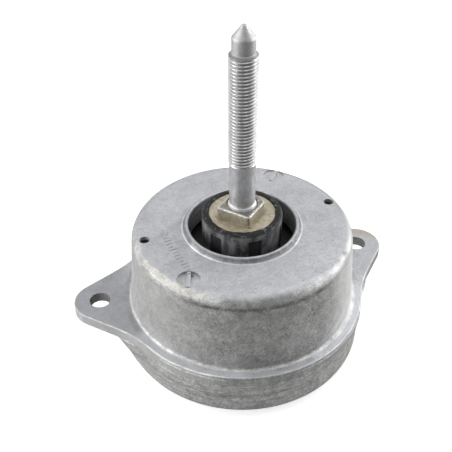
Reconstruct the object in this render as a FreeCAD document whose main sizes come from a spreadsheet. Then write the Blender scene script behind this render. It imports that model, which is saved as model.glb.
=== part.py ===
import FreeCAD, Part
import math
import os
import re

import Sketcher
from FreeCAD import Placement, Rotation, Vector

# Hydraulic engine mount: a cast bell with two swept ears, a cast cup below it, and a sprung core with a
# stud. The origin is on the stud's axis at the underside of the foot. +Z runs up the stud, and the two ears
# mirror each other across the YZ plane. Lengths are in millimetres and angles in degrees.

# Sizes that are set by themselves: a name for the sheet, its number, and what it is.
SIZES = [
    ("foot_inset", 10.8, "round pad that the mount stands on, in from the cup's side"),
    ("foot_height", 0.6, "step from the pad to the cup's underside"),
    ("cup_wall", 4.6, "wall of the cast cup round the clamped stack"),
    ("cup_round", 7.0, "rounding between the cup's side and its underside"),
    ("cup_floor", 3.6, "thickness of the cup's floor above the pad's step"),
    ("foot_round", 0.4, "softened rim of that pad"),
    ("cup_step", 0.25, "step in the cup's side where its two mould halves met"),
    ("cup_step_drop", 7.2, "depth of that step below the joint"),
    ("joint_drop", 3.6, "joint between cup and bell, below the shoulder in the bell"),
    ("lug_reach", 7.4, "end of the cup's lug under each ear, short of the ear's hole"),
    ("lug_drop", 17.0, "height of that lug"),
    ("lug_lip", 0.5, "upright edge of the lug below the joint"),
    ("lug_side", 8.0, "how far its sides draw in down to the cup"),
    ("joint_round", 0.35, "softened rim of the cup at the joint"),
    ("floor_round", 1.8, "hollow corner of the cup's floor"),
    ("spigot_wall", 2.4, "wall of the cup's spigot inside the bell's flange"),
    ("spigot_rise", 1.8, "height of the spigot above the joint"),
    ("flange_overhang", 0.8, "flange's rim, proud of the cup"),
    ("rim_line_drop", 1.75, "scribed line round the flange, below its top"),
    ("rim_line", 0.35, "depth and half width of that line"),
    ("rim_clear", 43.0, "angle from an ear's line to where that line begins"),
    ("flange_round", 0.6, "softened edge of the flange and the ears"),
    ("flange_thick", 5.0, "thickness of the flange and the ears"),
    ("flange_ledge", 4.6, "width of the flange outside the bell's side"),
    ("flange_blend", 1.6, "hollow rounding between bell and flange"),
    ("bell_draft", 4.2, "lean of the bell's side"),
    ("bell_round", 4.9, "rounding of the bell's top rim"),
    ("bell_wall", 4.2, "thickness of the bell's side"),
    ("bell_roof", 5.0, "thickness of the bell's top"),
    ("mouth_wall", 4.0, "thickness of the collar round the opening"),
    ("mouth_depth", 9.1, "height of that collar, up to the flat top"),
    ("lip_width", 2.9, "raised lip round the opening"),
    ("lip_rise", 2.2, "height of the lip above the flat top"),
    ("lip_crest", 1.5, "width of the lip's crest"),
    ("lip_round", 1.0, "rounding of the crest"),
    ("mouth_round", 0.8, "rounding at the foot of the opening's collar"),
    ("ear_stand", 9.8, "from the flange's rim to the middle of an ear's hole"),
    ("ear_angle", 10.9, "sweep of each ear from the X axis towards +Y"),
    ("ear_round", 11.8, "radius of an ear's end"),
    ("ear_flare", 35.0, "angle of an ear's sides to its own line"),
    ("ear_root", 15.5, "start of an ear's outline, inside the flange's rim"),
    ("ear_blend", 58.0, "hollow corner between an ear and the flange"),
    ("ear_hole_radius", 4.8, "bolt hole in an ear"),
    ("peg_hole_radius", 2.2, "small blind holes in the flat top"),
    ("peg_hole_depth", 3.0, "their depth"),
    ("peg_hole_inset", 5.2, "their distance in from the bell's side"),
    ("peg_hole_angle", 5.1, "their sweep from the X axis towards +Y"),
    ("insert_radius", 4.9, "round inserts cast into the flat top"),
    ("far_insert_depth", 0.9, "depth of the far one's face below the top"),
    ("near_insert_depth", 1.2, "depth of the near one's face below the top"),
    ("insert_inset", 7.0, "their distance in from the bell's side"),
    ("insert_lead", 44.4, "angle from a small hole to its insert"),
    ("insert_bar_width", 1.6, "bar across an insert's face"),
    ("insert_bar_length", 8.8, "length of that bar"),
    ("far_bar_turn", 2.5, "turn of the far insert's bar from its radius"),
    ("near_bar_turn", 32.6, "turn of the near insert's bar from its radius"),
    ("seat_gap", 0.1, "clearance of a stacked piece in its bore"),
    ("ring_flange", 2.0, "thickness of the spring ring's flange"),
    ("ring_wall", 1.8, "wall of the spring ring's tube"),
    ("ring_height", 10.0, "tube of the spring ring above the shoulder"),
    ("plate_thick", 3.0, "each half of the channel body"),
    ("membrane_radius", 19.6, "decoupling membrane"),
    ("membrane_thick", 1.6, "its thickness"),
    ("membrane_play", 0.35, "its clearance above and below"),
    ("membrane_margin", 10.4, "from the membrane's edge out to the rivets"),
    ("rivet_radius", 1.4, "rivets through the channel body"),
    ("rivet_head_radius", 2.6, "rivet heads"),
    ("rivet_head_height", 0.9, "height of a rivet head"),
    ("rivet_count", 4, "number of rivets"),
    ("rivet_margin", 8.2, "from the rivets out to the liquid's channel"),
    ("track_width", 5.6, "width of the liquid's channel"),
    ("track_depth", 1.9, "depth of the channel in the lower half"),
    ("track_sweep", 300.0, "angle that the channel runs through"),
    ("track_rim", 6.4, "from the channel out to the stack's bore"),
    ("port_radius", 1.9, "holes at the two ends of the channel"),
    ("grid_hole_radius", 1.7, "holes that let the liquid reach the membrane"),
    ("grid_hole_inset", 5.4, "ring of those holes, in from the membrane's edge"),
    ("grid_hole_count", 8, "number of those holes"),
    ("seal_half", 0.75, "half the thickness of the square sealing ring"),
    ("seal_room", 0.1, "its room in the groove"),
    ("bellows_thick", 1.5, "wall of the bellows"),
    ("bellows_dip", 5.6, "how far the bellows hangs below its ring"),
    ("bellows_ring", 2.0, "thickness of the bellows' ring"),
    ("bellows_rim", 5.4, "width of that ring"),
    ("bellows_room", 10.9, "height of the space between the floor and that ring"),
    ("bellows_clamp", 0.3, "bellows' edge below the top of its ring"),
    ("vent_radius", 3.0, "breather in the cup's floor"),
    ("vent_bore", 0.8, "breather's own hole"),
    ("vent_head", 1.2, "thickness of the breather's flange inside the cup"),
    ("vent_brim", 1.5, "width of that flange"),
    ("vent_inset", 0.2, "breather's face above the underside"),
    ("pad_radius", 7.0, "rubber stop under the core"),
    ("pad_height", 3.0, "its height above the channel body"),
    ("pad_taper", 1.4, "narrowing of its top"),
    ("pad_round", 0.6, "rounding of its top"),
    ("bump_travel", 5.6, "gap between that stop and the core"),
    ("cone_height", 13.2, "height of the core's cone"),
    ("cone_foot_radius", 8.5, "cone's radius at its underside"),
    ("cone_head_radius", 20.0, "cone's radius at its top"),
    ("cone_edge", 2.0, "straight edge at the cone's top"),
    ("spring_gap", 0.3, "clearance between the main spring and the moving core"),
    ("spring_shoulder", 9.0, "height of the main spring's outer wall above the shoulder"),
    ("spring_foot", 6.0, "thickness of the main spring where it meets the ring"),
    ("spring_top", 0.8, "main spring's top edge below the cone's top"),
    ("spring_undercut", 3.0, "bare foot of the cone below the main spring"),
    ("stop_overlap", 6.6, "stop plate, wider than the opening above it"),
    ("stop_thick", 2.2, "its thickness"),
    ("stop_round", 0.6, "its rounded lower edge"),
    ("buffer_thick", 2.6, "rubber ring on the stop plate"),
    ("buffer_round", 1.0, "rounding of the ring"),
    ("buffer_inset", 0.8, "the ring's step in from the plate's edge"),
    ("rebound_travel", 4.4, "gap between that ring and the collar of the opening"),
    ("disc_rise", 7.4, "disc's top face above the bell's flat top"),
    ("disc_margin", 3.36, "disc's rim outside the boss's corners"),
    ("disc_thick", 3.2, "thickness of the disc"),
    ("neck_wall", 5.25, "core's neck below the disc, round the stud"),
    ("boss_width", 15.9, "square boss, side to side"),
    ("boss_height", 4.9, "its height above the disc"),
    ("boss_turn", -2.8, "turn of its corners from the X axis"),
    ("boss_corner", 1.1, "rounding of its upright corners"),
    ("boss_bevel", 0.4, "worn edge round its top"),
    ("boss_ledge", 0.5, "low step round its foot"),
    ("boss_ledge_height", 0.4, "height of that step"),
    ("well_width", 0.85, "well in the boss round the stud's foot"),
    ("well_depth", 1.2, "its depth"),
    ("collar_wall", 2.9, "rubber collar outside the disc"),
    ("collar_play", 5.9, "room between the collar and the opening"),
    ("collar_rise", 0.5, "collar's rim above the disc"),
    ("collar_round", 1.5, "rounding of its rim"),
    ("recess_depth", 0.9, "shallow recesses down the collar's side"),
    ("recess_width", 6.3, "width of a recess"),
    ("recess_count", 6, "number of recesses"),
    ("recess_top", 3.6, "rim left above the recesses"),
    ("recess_turn", 30.0, "turn of the first recess from the X axis"),
    ("shank_radius", 5.55, "stud's plain shank"),
    ("shank_length", 22.0, "shank between the boss and the thread"),
    ("crest_rise", 0.38, "thread's crests above the shank"),
    ("thread_length", 47.7, "thread with its run-out"),
    ("thread_runout", 3.5, "run-out at its lower end"),
    ("pilot_step", 1.2, "cone between thread and pilot"),
    ("pilot_inset", 0.85, "pilot's radius below the shank's"),
    ("pilot_length", 6.0, "plain pilot above the thread"),
    ("point_height", 5.1, "cone point"),
    ("point_round", 0.4, "rounding at the foot of the point"),
    ("point_flat", 0.7, "radius of the blunt tip"),
    ("bead_rise", 0.4, "pressed bead at the stud's foot"),
    ("bead_height", 1.6, "height of the bead"),
    ("bead_slope", 0.5, "height of its sloping sides"),
    ("stud_depth", 8.0, "length of stud held in the core's cone"),
    ("press_gap", 0.05, "clearance of the stud in the pieces pressed on it"),
]

# Sizes that follow from those above. Heights run up from the underside, and radii out from the stud's axis.
FOLLOWING = {
    "floor_level": "foot_height + cup_floor",
    "ring_low": "floor_level + bellows_room",
    "stack_low": "ring_low + bellows_ring",
    "plate_joint": "stack_low + plate_thick",
    "stack_top": "plate_joint + plate_thick",
    "seat_level": "stack_top + ring_flange",
    "joint_level": "seat_level - joint_drop",
    "flange_top": "joint_level + flange_thick",
    "cone_level": "stack_top + pad_height + bump_travel",
    "cone_top": "cone_level + cone_height",
    "stop_top": "cone_top + stop_thick",
    "buffer_top": "stop_top + buffer_thick",
    "mouth_low": "buffer_top + rebound_travel",
    "bell_top": "mouth_low + mouth_depth",
    "roof_low": "bell_top - bell_roof",
    "lip_top": "bell_top + lip_rise",
    "disc_level": "bell_top + disc_rise",
    "disc_low": "disc_level - disc_thick",
    "boss_top": "disc_level + boss_height",
    "thread_low": "boss_top + shank_length",
    "thread_top": "thread_low + thread_length",
    "pilot_low": "thread_top + pilot_step",
    "pilot_top": "pilot_low + pilot_length",
    "point_top": "pilot_top + point_height",
    "seal_level": "(plate_joint + stack_low) / 2",
    "grid_hole_reach": "membrane_radius - grid_hole_inset",
    "rivet_reach": "membrane_radius + membrane_margin",
    "track_radius": "rivet_reach + rivet_margin + track_width / 2",
    "seat_radius": "track_radius + track_width / 2 + track_rim",
    "stack_radius": "seat_radius - seat_gap",
    "spigot_radius": "seat_radius + spigot_wall",
    "cup_radius": "seat_radius + cup_wall",
    "cup_low_radius": "cup_radius - cup_step",
    "cup_step_level": "joint_level - cup_step_drop",
    "foot_radius": "cup_radius - foot_inset",
    "bellows_bore": "seat_radius - bellows_rim",
    "flange_radius": "cup_radius + flange_overhang",
    "bell_foot_radius": "flange_radius - flange_ledge",
    "bell_head_radius": "bell_foot_radius - (bell_top - flange_top) * tan(bell_draft)",
    "shoulder_radius": "bell_foot_radius - bell_wall",
    "bell_lean": "(shoulder_radius - bell_head_radius + bell_wall) / (roof_low - seat_level)",
    "ring_radius": "shoulder_radius - seat_gap",
    "spring_radius": "ring_radius - ring_wall - seat_gap",
    "ear_reach": "flange_radius + ear_stand",
    "left_ear_angle": "180 - ear_angle",
    "left_peg_hole_angle": "180 - peg_hole_angle",
    "far_insert_angle": "peg_hole_angle + insert_lead",
    "near_insert_angle": "180 - peg_hole_angle + insert_lead",
    "peg_hole_reach": "bell_head_radius - peg_hole_inset",
    "insert_reach": "bell_head_radius - insert_inset",
    "hug_radius": "shank_radius + press_gap",
    "rivet_bore": "rivet_radius + press_gap",
    "disc_radius": "boss_width * sqrt(0.5) + disc_margin",
    "collar_radius": "disc_radius + collar_wall",
    "collar_top": "disc_level + collar_rise",
    "mouth_radius": "collar_radius + collar_play",
    "stop_radius": "mouth_radius + stop_overlap",
    "neck_radius": "shank_radius + neck_wall",
    "neck_hug": "neck_radius + seat_gap",
    "thread_radius": "shank_radius + crest_rise",
    "pilot_radius": "shank_radius - pilot_inset",
    "bead_radius": "shank_radius + bead_rise",
    "well_radius": "shank_radius + well_width",
}

doc = FreeCAD.newDocument("engine_mount")
sizes = doc.addObject("Spreadsheet::Sheet", "Sizes")
for row, (alias, number, note) in enumerate(SIZES, start=1):
    sizes.set("A%d" % row, note)
    sizes.set("B%d" % row, str(number))
    sizes.setAlias("B%d" % row, alias)
doc.recompute()

ALIASES = {alias for alias, number, note in SIZES}

# How near two numbers are when they count as the same.
NEAR = 0.001


def spelled(text):
    """The same expression with every size that follows written out in the sheet's own sizes."""
    def write_out(word):
        return "(%s)" % spelled(FOLLOWING[word[0]]) if word[0] in FOLLOWING else word[0]
    return re.sub(r"[a-z_]+", write_out, text)


def bound(text):
    """The expression as another object of the document reads it, through the sheet."""
    def point_out(word):
        return "Sizes." + word[0] if word[0] in ALIASES else word[0]
    return re.sub(r"[a-z_]+", point_out, spelled(text))


def value(text):
    """The number that an expression of sizes comes to."""
    return float(sizes.evalExpression(spelled(text)))


def new_body(name):
    body = doc.addObject("PartDesign::Body", name)
    body.Label = name
    return body


def plane(body, role):
    """One of the body's own origin planes."""
    return next(item for item in body.Origin.OriginFeatures if item.Role == role)


def new_sketch(body, name, role, level=None, turn=None):
    """A sketch on an origin plane of its body, raised to a level and turned about the plane's normal."""
    sketch = body.newObject("Sketcher::SketchObject", name)
    sketch.AttachmentSupport = (plane(body, role), [""])
    sketch.MapMode = "FlatFace"
    start = Vector(0, 0, value(level) if level else 0)
    sketch.AttachmentOffset = Placement(start, Rotation(Vector(0, 0, 1), value(turn) if turn else 0))
    if level:
        sketch.setExpression("AttachmentOffset.Base.z", bound(level))
    if turn:
        sketch.setExpression("AttachmentOffset.Rotation.Angle", "(%s) * 1 deg" % bound(turn))
    return sketch


def pin_point(sketch, edge, end, across, up):
    """Ties one end of an edge to two expressions, measured from the sketch's origin."""
    for kind, text, axis in (("DistanceX", across, -2), ("DistanceY", up, -1)):
        if text == "0":
            sketch.addConstraint(Sketcher.Constraint("PointOnObject", edge, end, axis))
        else:
            index = sketch.addConstraint(Sketcher.Constraint(kind, edge, end, value(text)))
            sketch.setExpression("Constraints[%d]" % index, bound(text))


def draw_outline(sketch, corners):
    """Draws a closed outline of straight edges through corners given as pairs of expressions."""
    first = sketch.GeometryCount
    places = [Vector(value(across), value(up), 0) for across, up in corners]
    for index, place in enumerate(places):
        sketch.addGeometry(Part.LineSegment(place, places[(index + 1) % len(places)]), False)
    for index in range(len(corners)):
        after = first + (index + 1) % len(corners)
        sketch.addConstraint(Sketcher.Constraint("Coincident", first + index, 2, after, 1))
    for index, (across, up) in enumerate(corners):
        pin_point(sketch, first + index, 1, across, up)


def draw_circle(sketch, radius, across="0", up="0"):
    """Draws a circle whose radius and middle are expressions."""
    middle = Vector(value(across), value(up), 0)
    edge = sketch.addGeometry(Part.Circle(middle, Vector(0, 0, 1), value(radius)), False)
    if across == "0" and up == "0":
        sketch.addConstraint(Sketcher.Constraint("Coincident", edge, 3, -1, 1))
    else:
        pin_point(sketch, edge, 3, across, up)
    index = sketch.addConstraint(Sketcher.Constraint("Radius", edge, value(radius)))
    sketch.setExpression("Constraints[%d]" % index, bound(radius))


def turned(body, name, corners, cut=False):
    """Turns an outline of radius and height pairs about Z, to add a solid or to cut a groove."""
    sketch = new_sketch(body, name + "_outline", "XZ_Plane")
    draw_outline(sketch, corners)
    feature = body.newObject("PartDesign::Groove" if cut else "PartDesign::Revolution", name)
    feature.Profile = sketch
    feature.ReferenceAxis = (sketch, ["V_Axis"])
    feature.Angle = 360
    doc.recompute()
    return feature


def pushed(body, name, sketch, length, cut=False, down=False):
    """Pads a sketch by a length, or pockets it downwards from the sketch's plane."""
    feature = body.newObject("PartDesign::Pocket" if cut else "PartDesign::Pad", name)
    feature.Profile = sketch
    feature.Length = value(length)
    feature.setExpression("Length", bound(length))
    feature.Reversed = down
    doc.recompute()
    return feature


def ring_edges(feature, radius, level):
    """Names of the feature's round edges about Z that have a given radius and height."""
    found = []
    for index, edge in enumerate(feature.Shape.Edges, start=1):
        if not isinstance(edge.Curve, Part.Circle) or abs(edge.Curve.Axis.z) < 0.9:
            continue
        middle = edge.Curve.Center
        gaps = [math.hypot(middle.x, middle.y), edge.Curve.Radius - value(radius), middle.z - value(level)]
        if max(abs(gap) for gap in gaps) < NEAR:
            found.append("Edge%d" % index)
    return found


def upright_edges(feature, low, high, reach):
    """Names of upright straight edges between two heights, at a given distance from the axis."""
    found = []
    for index, edge in enumerate(feature.Shape.Edges, start=1):
        if not isinstance(edge.Curve, Part.Line) or abs(edge.Curve.Direction.z) < 0.999:
            continue
        ends = sorted(vertex.Point.z for vertex in edge.Vertexes)
        place = edge.Vertexes[0].Point
        gaps = [ends[0] - value(low), ends[1] - value(high), math.hypot(place.x, place.y) - value(reach)]
        if max(abs(gap) for gap in gaps) < NEAR:
            found.append("Edge%d" % index)
    return found


def level_edges(feature, level, beyond):
    """Names of the edges that lie at one height, at least as far out as a given radius."""
    found = []
    for index, edge in enumerate(feature.Shape.Edges, start=1):
        middle = edge.valueAt((edge.FirstParameter + edge.LastParameter) / 2)
        heights = [vertex.Point.z for vertex in edge.Vertexes] + [middle.z]
        flat = max(abs(height - value(level)) for height in heights) < NEAR
        if flat and math.hypot(middle.x, middle.y) > value(beyond) - NEAR:
            found.append("Edge%d" % index)
    return found


def softened(body, name, base, edges, radius):
    """Rounds the named edges of the feature before it."""
    feature = body.newObject("PartDesign::Fillet", name)
    feature.Base = (base, edges)
    feature.Radius = value(radius)
    feature.setExpression("Radius", bound(radius))
    doc.recompute()
    return feature


def bevelled(body, name, base, edges, size):
    """Cuts the named edges of the feature before it at forty-five degrees."""
    feature = body.newObject("PartDesign::Chamfer", name)
    feature.Base = (base, edges)
    feature.Size = value(size)
    feature.setExpression("Size", bound(size))
    doc.recompute()
    return feature


def around(body, name, feature, count):
    """Repeats a feature evenly round Z."""
    pattern = body.newObject("PartDesign::PolarPattern", name)
    pattern.Originals = [feature]
    pattern.Axis = (plane(body, "Z_Axis"), [""])
    pattern.Angle = 360
    pattern.Occurrences = int(value(count))
    pattern.setExpression("Occurrences", bound(count))
    body.Tip = pattern
    doc.recompute()
    return pattern


def drill(body, name, level, radius, reach, depth, turn=None):
    """A round hole down from a level, off the axis."""
    sketch = new_sketch(body, name + "_outline", "XY_Plane", level, turn)
    draw_circle(sketch, radius, reach)
    return pushed(body, name, sketch, depth, cut=True)


# The cast bell: side, roof, flange and ears in one piece.

def draw_ear(sketch):
    """One ear along the sketch's X axis: a round end with two straight sides that run into the flange."""
    inner = "(flange_radius - ear_root)"
    touch = "(ear_reach + ear_round * sin(ear_flare))"
    half = "(ear_round * cos(ear_flare))"
    spread = "(%s + (%s - %s) * tan(ear_flare))" % (half, touch, inner)
    points = [(inner, spread), (touch, half), (touch, "-" + half), (inner, "-" + spread)]
    places = [Vector(value(across), value(up), 0) for across, up in points]
    tip = Vector(value("ear_reach + ear_round"), 0, 0)
    sketch.addGeometry(Part.LineSegment(places[0], places[1]), False)
    sketch.addGeometry(Part.Arc(places[1], tip, places[2]), False)
    sketch.addGeometry(Part.LineSegment(places[2], places[3]), False)
    sketch.addGeometry(Part.LineSegment(places[3], places[0]), False)
    # The arc runs anticlockwise, so its start is the lower touching point.
    for one, end, two, start in ((0, 2, 1, 2), (1, 1, 2, 1), (2, 2, 3, 1), (3, 2, 0, 1)):
        sketch.addConstraint(Sketcher.Constraint("Coincident", one, end, two, start))
    for index, (across, up) in enumerate(points):
        pin_point(sketch, 2 * (index // 2), 1 + index % 2, across, up)
    reach = sketch.addConstraint(Sketcher.Constraint("DistanceX", 1, 3, value("ear_reach")))
    sketch.setExpression("Constraints[%d]" % reach, bound("ear_reach"))


def scribe_rim(body, side, sign, sweep):
    """Cuts the fine line round the flange's edge, on the front or the back between the ears."""
    sketch = new_sketch(body, side + "_rim_outline", "YZ_Plane")
    inner, outer = "%s(flange_radius - rim_line)" % sign, "%s(flange_radius + rim_line)" % sign
    level = "flange_top - rim_line_drop"
    low, high = level + " - 2 * rim_line", level + " + 2 * rim_line"
    draw_outline(sketch, [(inner, level), (outer, low), (outer, high)])
    groove = body.newObject("PartDesign::Groove", side + "_rim")
    groove.Profile = sketch
    groove.ReferenceAxis = (sketch, ["V_Axis"])
    groove.Midplane = True
    groove.Angle = value(sweep)
    groove.setExpression("Angle", "(%s) * 1 deg" % bound(sweep))
    doc.recompute()


def bell_outside(body):
    """The solid outer form, with both ears blended into the flange."""
    crest = "(mouth_radius + lip_crest)"
    turned(body, "bell_form", [
        ("0", "joint_level"), ("flange_radius", "joint_level"), ("flange_radius", "flange_top"),
        ("bell_foot_radius", "flange_top"), ("bell_head_radius", "bell_top"),
        ("mouth_radius + lip_width", "bell_top"), (crest, "lip_top"), ("0", "lip_top")])
    for side, turn in (("right", "ear_angle"), ("left", "left_ear_angle")):
        sketch = new_sketch(body, side + "_ear_outline", "XY_Plane", "joint_level", turn)
        draw_ear(sketch)
        form = pushed(body, side + "_ear", sketch, "flange_thick")
    corners = upright_edges(form, "joint_level", "flange_top", "flange_radius")
    form = softened(body, "ear_blends", form, corners, "ear_blend")
    rim = ring_edges(form, "bell_head_radius", "bell_top")
    form = softened(body, "bell_rim", form, rim, "bell_round")
    foot = ring_edges(form, "bell_foot_radius", "flange_top")
    form = softened(body, "flange_hollow", form, foot, "flange_blend")
    form = softened(body, "lip_outside", form, ring_edges(form, crest, "lip_top"), "lip_round")
    softened(body, "flange_edge", form, level_edges(form, "flange_top", "flange_radius"), "flange_round")
    scribe_rim(body, "front", "-", "180 + 2 * ear_angle - 2 * rim_clear")
    scribe_rim(body, "back", "", "180 - 2 * ear_angle - 2 * rim_clear")


def cast_insert(body, side, angle, bar_turn):
    """A round mark sunk in the flat top, with a bar left standing across it."""
    turn = "%s + %s" % (angle, bar_turn)
    sketch = new_sketch(body, side + "_insert_outline", "XY_Plane", "bell_top", turn)
    across = "(insert_reach * cos(%s))" % bar_turn
    up = "(-insert_reach * sin(%s))" % bar_turn
    draw_circle(sketch, "insert_radius", across, up)
    low, high = across + " - insert_bar_length / 2", across + " + insert_bar_length / 2"
    near, far = up + " - insert_bar_width / 2", up + " + insert_bar_width / 2"
    draw_outline(sketch, [(low, near), (high, near), (high, far), (low, far)])
    pushed(body, side + "_insert", sketch, side + "_insert_depth", cut=True)


def upper_housing():
    body = new_body("upper_housing")
    bell_outside(body)
    spigot_top = "joint_level + spigot_rise + seat_gap"
    above = "(lip_top + lip_rise)"
    hollow = turned(body, "bell_hollow", [
        ("0", "joint_level"), ("spigot_radius + seat_gap", "joint_level"),
        ("spigot_radius + seat_gap", spigot_top), ("seat_radius", spigot_top), ("seat_radius", "seat_level"),
        ("shoulder_radius", "seat_level"), ("bell_head_radius - bell_wall", "roof_low"),
        ("mouth_radius + mouth_wall", "roof_low"), ("mouth_radius + mouth_wall", "mouth_low"),
        ("mouth_radius", "mouth_low"), ("mouth_radius", above), ("0", above)], cut=True)
    soft = softened(body, "lip_inside", hollow, ring_edges(hollow, "mouth_radius", "lip_top"), "mouth_round")
    softened(body, "mouth_foot", soft, ring_edges(soft, "mouth_radius", "mouth_low"), "mouth_round")
    for side, turn in (("right", "ear_angle"), ("left", "left_ear_angle")):
        hole = side + "_ear_hole"
        drill(body, hole, "flange_top", "ear_hole_radius", "ear_reach", "flange_thick", turn)
    for side, turn in (("right", "peg_hole_angle"), ("left", "left_peg_hole_angle")):
        hole = side + "_peg_hole"
        drill(body, hole, "bell_top", "peg_hole_radius", "peg_hole_reach", "peg_hole_depth", turn)
    cast_insert(body, "far", "far_insert_angle", "far_bar_turn")
    cast_insert(body, "near", "near_insert_angle", "near_bar_turn")
    return body


# The cast cup that closes the mount from below.

# Sections of the lug under an ear, down from its upright edge: share of its height, and share of its size.
LUG_SECTIONS = [(0, 1.0), (0.3, 0.6), (0.7, 0.25), (1.0, -0.2)]


def draw_lug(sketch, share):
    """One level of the lug along the sketch's X axis: a straight end, and sides in line with the ear's."""
    root = "(flange_radius - ear_root)"
    tip = "(cup_radius + %s * (ear_reach - lug_reach - cup_radius))" % share
    line = "((ear_round - (1 - %s) * lug_side) / cos(ear_flare) + ear_reach * tan(ear_flare))" % share
    near, far = "(%s - %s * tan(ear_flare))" % (line, root), "(%s - %s * tan(ear_flare))" % (line, tip)
    draw_outline(sketch, [(root, "-" + near), (tip, "-" + far), (tip, far), (root, near)])


def cup_lug(body, side, turn):
    """The lug of the cup under an ear: its sections shrink into the cup's side from the joint down."""
    high = "joint_level - lug_lip"
    sketches = []
    for index, (drop, share) in enumerate(LUG_SECTIONS):
        level = high + " - %s * (lug_drop - lug_lip)" % drop
        sketch = new_sketch(body, "%s_lug_section_%d" % (side, index), "XY_Plane", level, turn)
        draw_lug(sketch, share)
        sketches.append(sketch)
    loft = body.newObject("PartDesign::AdditiveLoft", side + "_lug")
    loft.Profile = sketches[0]
    loft.Sections = sketches[1:]
    loft.Ruled = False
    doc.recompute()
    edge = new_sketch(body, side + "_lug_edge_outline", "XY_Plane", high, turn)
    draw_lug(edge, 1.0)
    pushed(body, side + "_lug_edge", edge, "lug_lip")


def lower_housing():
    body = new_body("lower_housing")
    spigot_top = "joint_level + spigot_rise"
    form = turned(body, "cup_form", [
        ("0", "0"), ("foot_radius", "0"), ("foot_radius", "foot_height"), ("cup_low_radius", "foot_height"),
        ("cup_low_radius", "cup_step_level"), ("cup_radius", "cup_step_level"), ("cup_radius", "joint_level"),
        ("spigot_radius", "joint_level"), ("spigot_radius", spigot_top), ("0", spigot_top)])
    rim = ring_edges(form, "cup_low_radius", "foot_height")
    form = softened(body, "cup_rounding", form, rim, "cup_round")
    form = softened(body, "foot_edge", form, ring_edges(form, "foot_radius", "0"), "foot_round")
    softened(body, "cup_top_edge", form, ring_edges(form, "cup_radius", "joint_level"), "joint_round")
    for side, turn in (("right", "ear_angle"), ("left", "left_ear_angle")):
        cup_lug(body, side, turn)
    hollow = turned(body, "cup_hollow", [
        ("0", "0"), ("vent_radius", "0"), ("vent_radius", "floor_level"), ("bellows_bore", "floor_level"),
        ("bellows_bore", "ring_low"), ("seat_radius", "ring_low"), ("seat_radius", spigot_top),
        ("0", spigot_top)], cut=True)
    softened(body, "floor_corner", hollow, ring_edges(hollow, "bellows_bore", "floor_level"), "floor_round")
    return body


# The clamped stack between the two castings, from the top down.

def spring_ring():
    """Steel ring with a flange. The main spring is bonded inside its tube."""
    body = new_body("spring_ring")
    high = "(seat_level + ring_height)"
    head = "(ring_radius - ring_height * bell_lean)"
    turned(body, "ring_form", [
        ("ring_radius - ring_wall", "stack_top"), ("stack_radius", "stack_top"),
        ("stack_radius", "seat_level"), ("ring_radius", "seat_level"), (head, high),
        (head + " - ring_wall", high)])
    return body


def main_spring():
    """Rubber cone between the moving core and the steel ring, hollow below for the liquid."""
    body = new_body("main_spring")
    head = "(spring_radius - spring_shoulder * bell_lean)"
    slope = "((cone_head_radius - cone_foot_radius) / (cone_height - cone_edge))"
    foot = "(cone_foot_radius + spring_undercut * %s + spring_gap)" % slope
    turned(body, "spring_form", [
        (foot, "cone_level + spring_undercut"), ("spring_radius - spring_foot", "stack_top"),
        ("spring_radius", "stack_top"), (head, "seat_level + spring_shoulder"),
        ("cone_head_radius + spring_gap", "cone_top - spring_top"),
        ("cone_head_radius + spring_gap", "cone_top - cone_edge")])
    return body


def channel_top():
    """Upper half of the channel body, with the inlet to the channel and the membrane's upper grid."""
    body = new_body("channel_top")
    turned(body, "channel_top_form", [
        ("0", "plate_joint"), ("stack_radius", "plate_joint"), ("stack_radius", "stack_top"),
        ("0", "stack_top")])
    drill(body, "inlet", "stack_top", "port_radius", "track_radius", "plate_thick")
    hole = drill(body, "upper_grid", "stack_top", "grid_hole_radius", "grid_hole_reach", "plate_thick")
    around(body, "upper_grid_ring", hole, "grid_hole_count")
    hole = drill(body, "upper_rivet_hole", "stack_top", "rivet_bore", "rivet_reach", "plate_thick")
    around(body, "upper_rivet_ring", hole, "rivet_count")
    return body


def channel_base():
    """Lower half, with the channel cut in its top, a pocket for the membrane and a groove for the seal."""
    body = new_body("channel_base")
    groove = "(stack_radius - 2 * seal_half - seal_room)"
    groove_low, groove_high = "seal_level - seal_half - seal_room", "seal_level + seal_half + seal_room"
    pocket = "(membrane_radius + 2 * membrane_play)"
    pocket_low = "(plate_joint - membrane_thick - 2 * membrane_play)"
    turned(body, "channel_base_form", [
        ("0", "stack_low"), ("stack_radius", "stack_low"), ("stack_radius", groove_low), (groove, groove_low),
        (groove, groove_high), ("stack_radius", groove_high), ("stack_radius", "plate_joint"),
        (pocket, "plate_joint"), (pocket, pocket_low), ("0", pocket_low)])
    sketch = new_sketch(body, "track_outline", "XZ_Plane")
    low, high = "(track_radius - track_width / 2)", "(track_radius + track_width / 2)"
    bottom = "(plate_joint - track_depth)"
    draw_outline(sketch, [(low, bottom), (high, bottom), (high, "plate_joint"), (low, "plate_joint")])
    track = body.newObject("PartDesign::Groove", "track")
    track.Profile = sketch
    track.ReferenceAxis = (sketch, ["V_Axis"])
    track.Angle = value("track_sweep")
    track.setExpression("Angle", bound("track_sweep"))
    track.Reversed = True
    doc.recompute()
    drill(body, "outlet", "plate_joint", "port_radius", "track_radius", "plate_thick", "track_sweep")
    hole = drill(body, "lower_grid", "plate_joint", "grid_hole_radius", "grid_hole_reach", "plate_thick")
    around(body, "lower_grid_ring", hole, "grid_hole_count")
    hole = drill(body, "lower_rivet_hole", "plate_joint", "rivet_bore", "rivet_reach", "plate_thick")
    around(body, "lower_rivet_ring", hole, "rivet_count")
    return body


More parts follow.
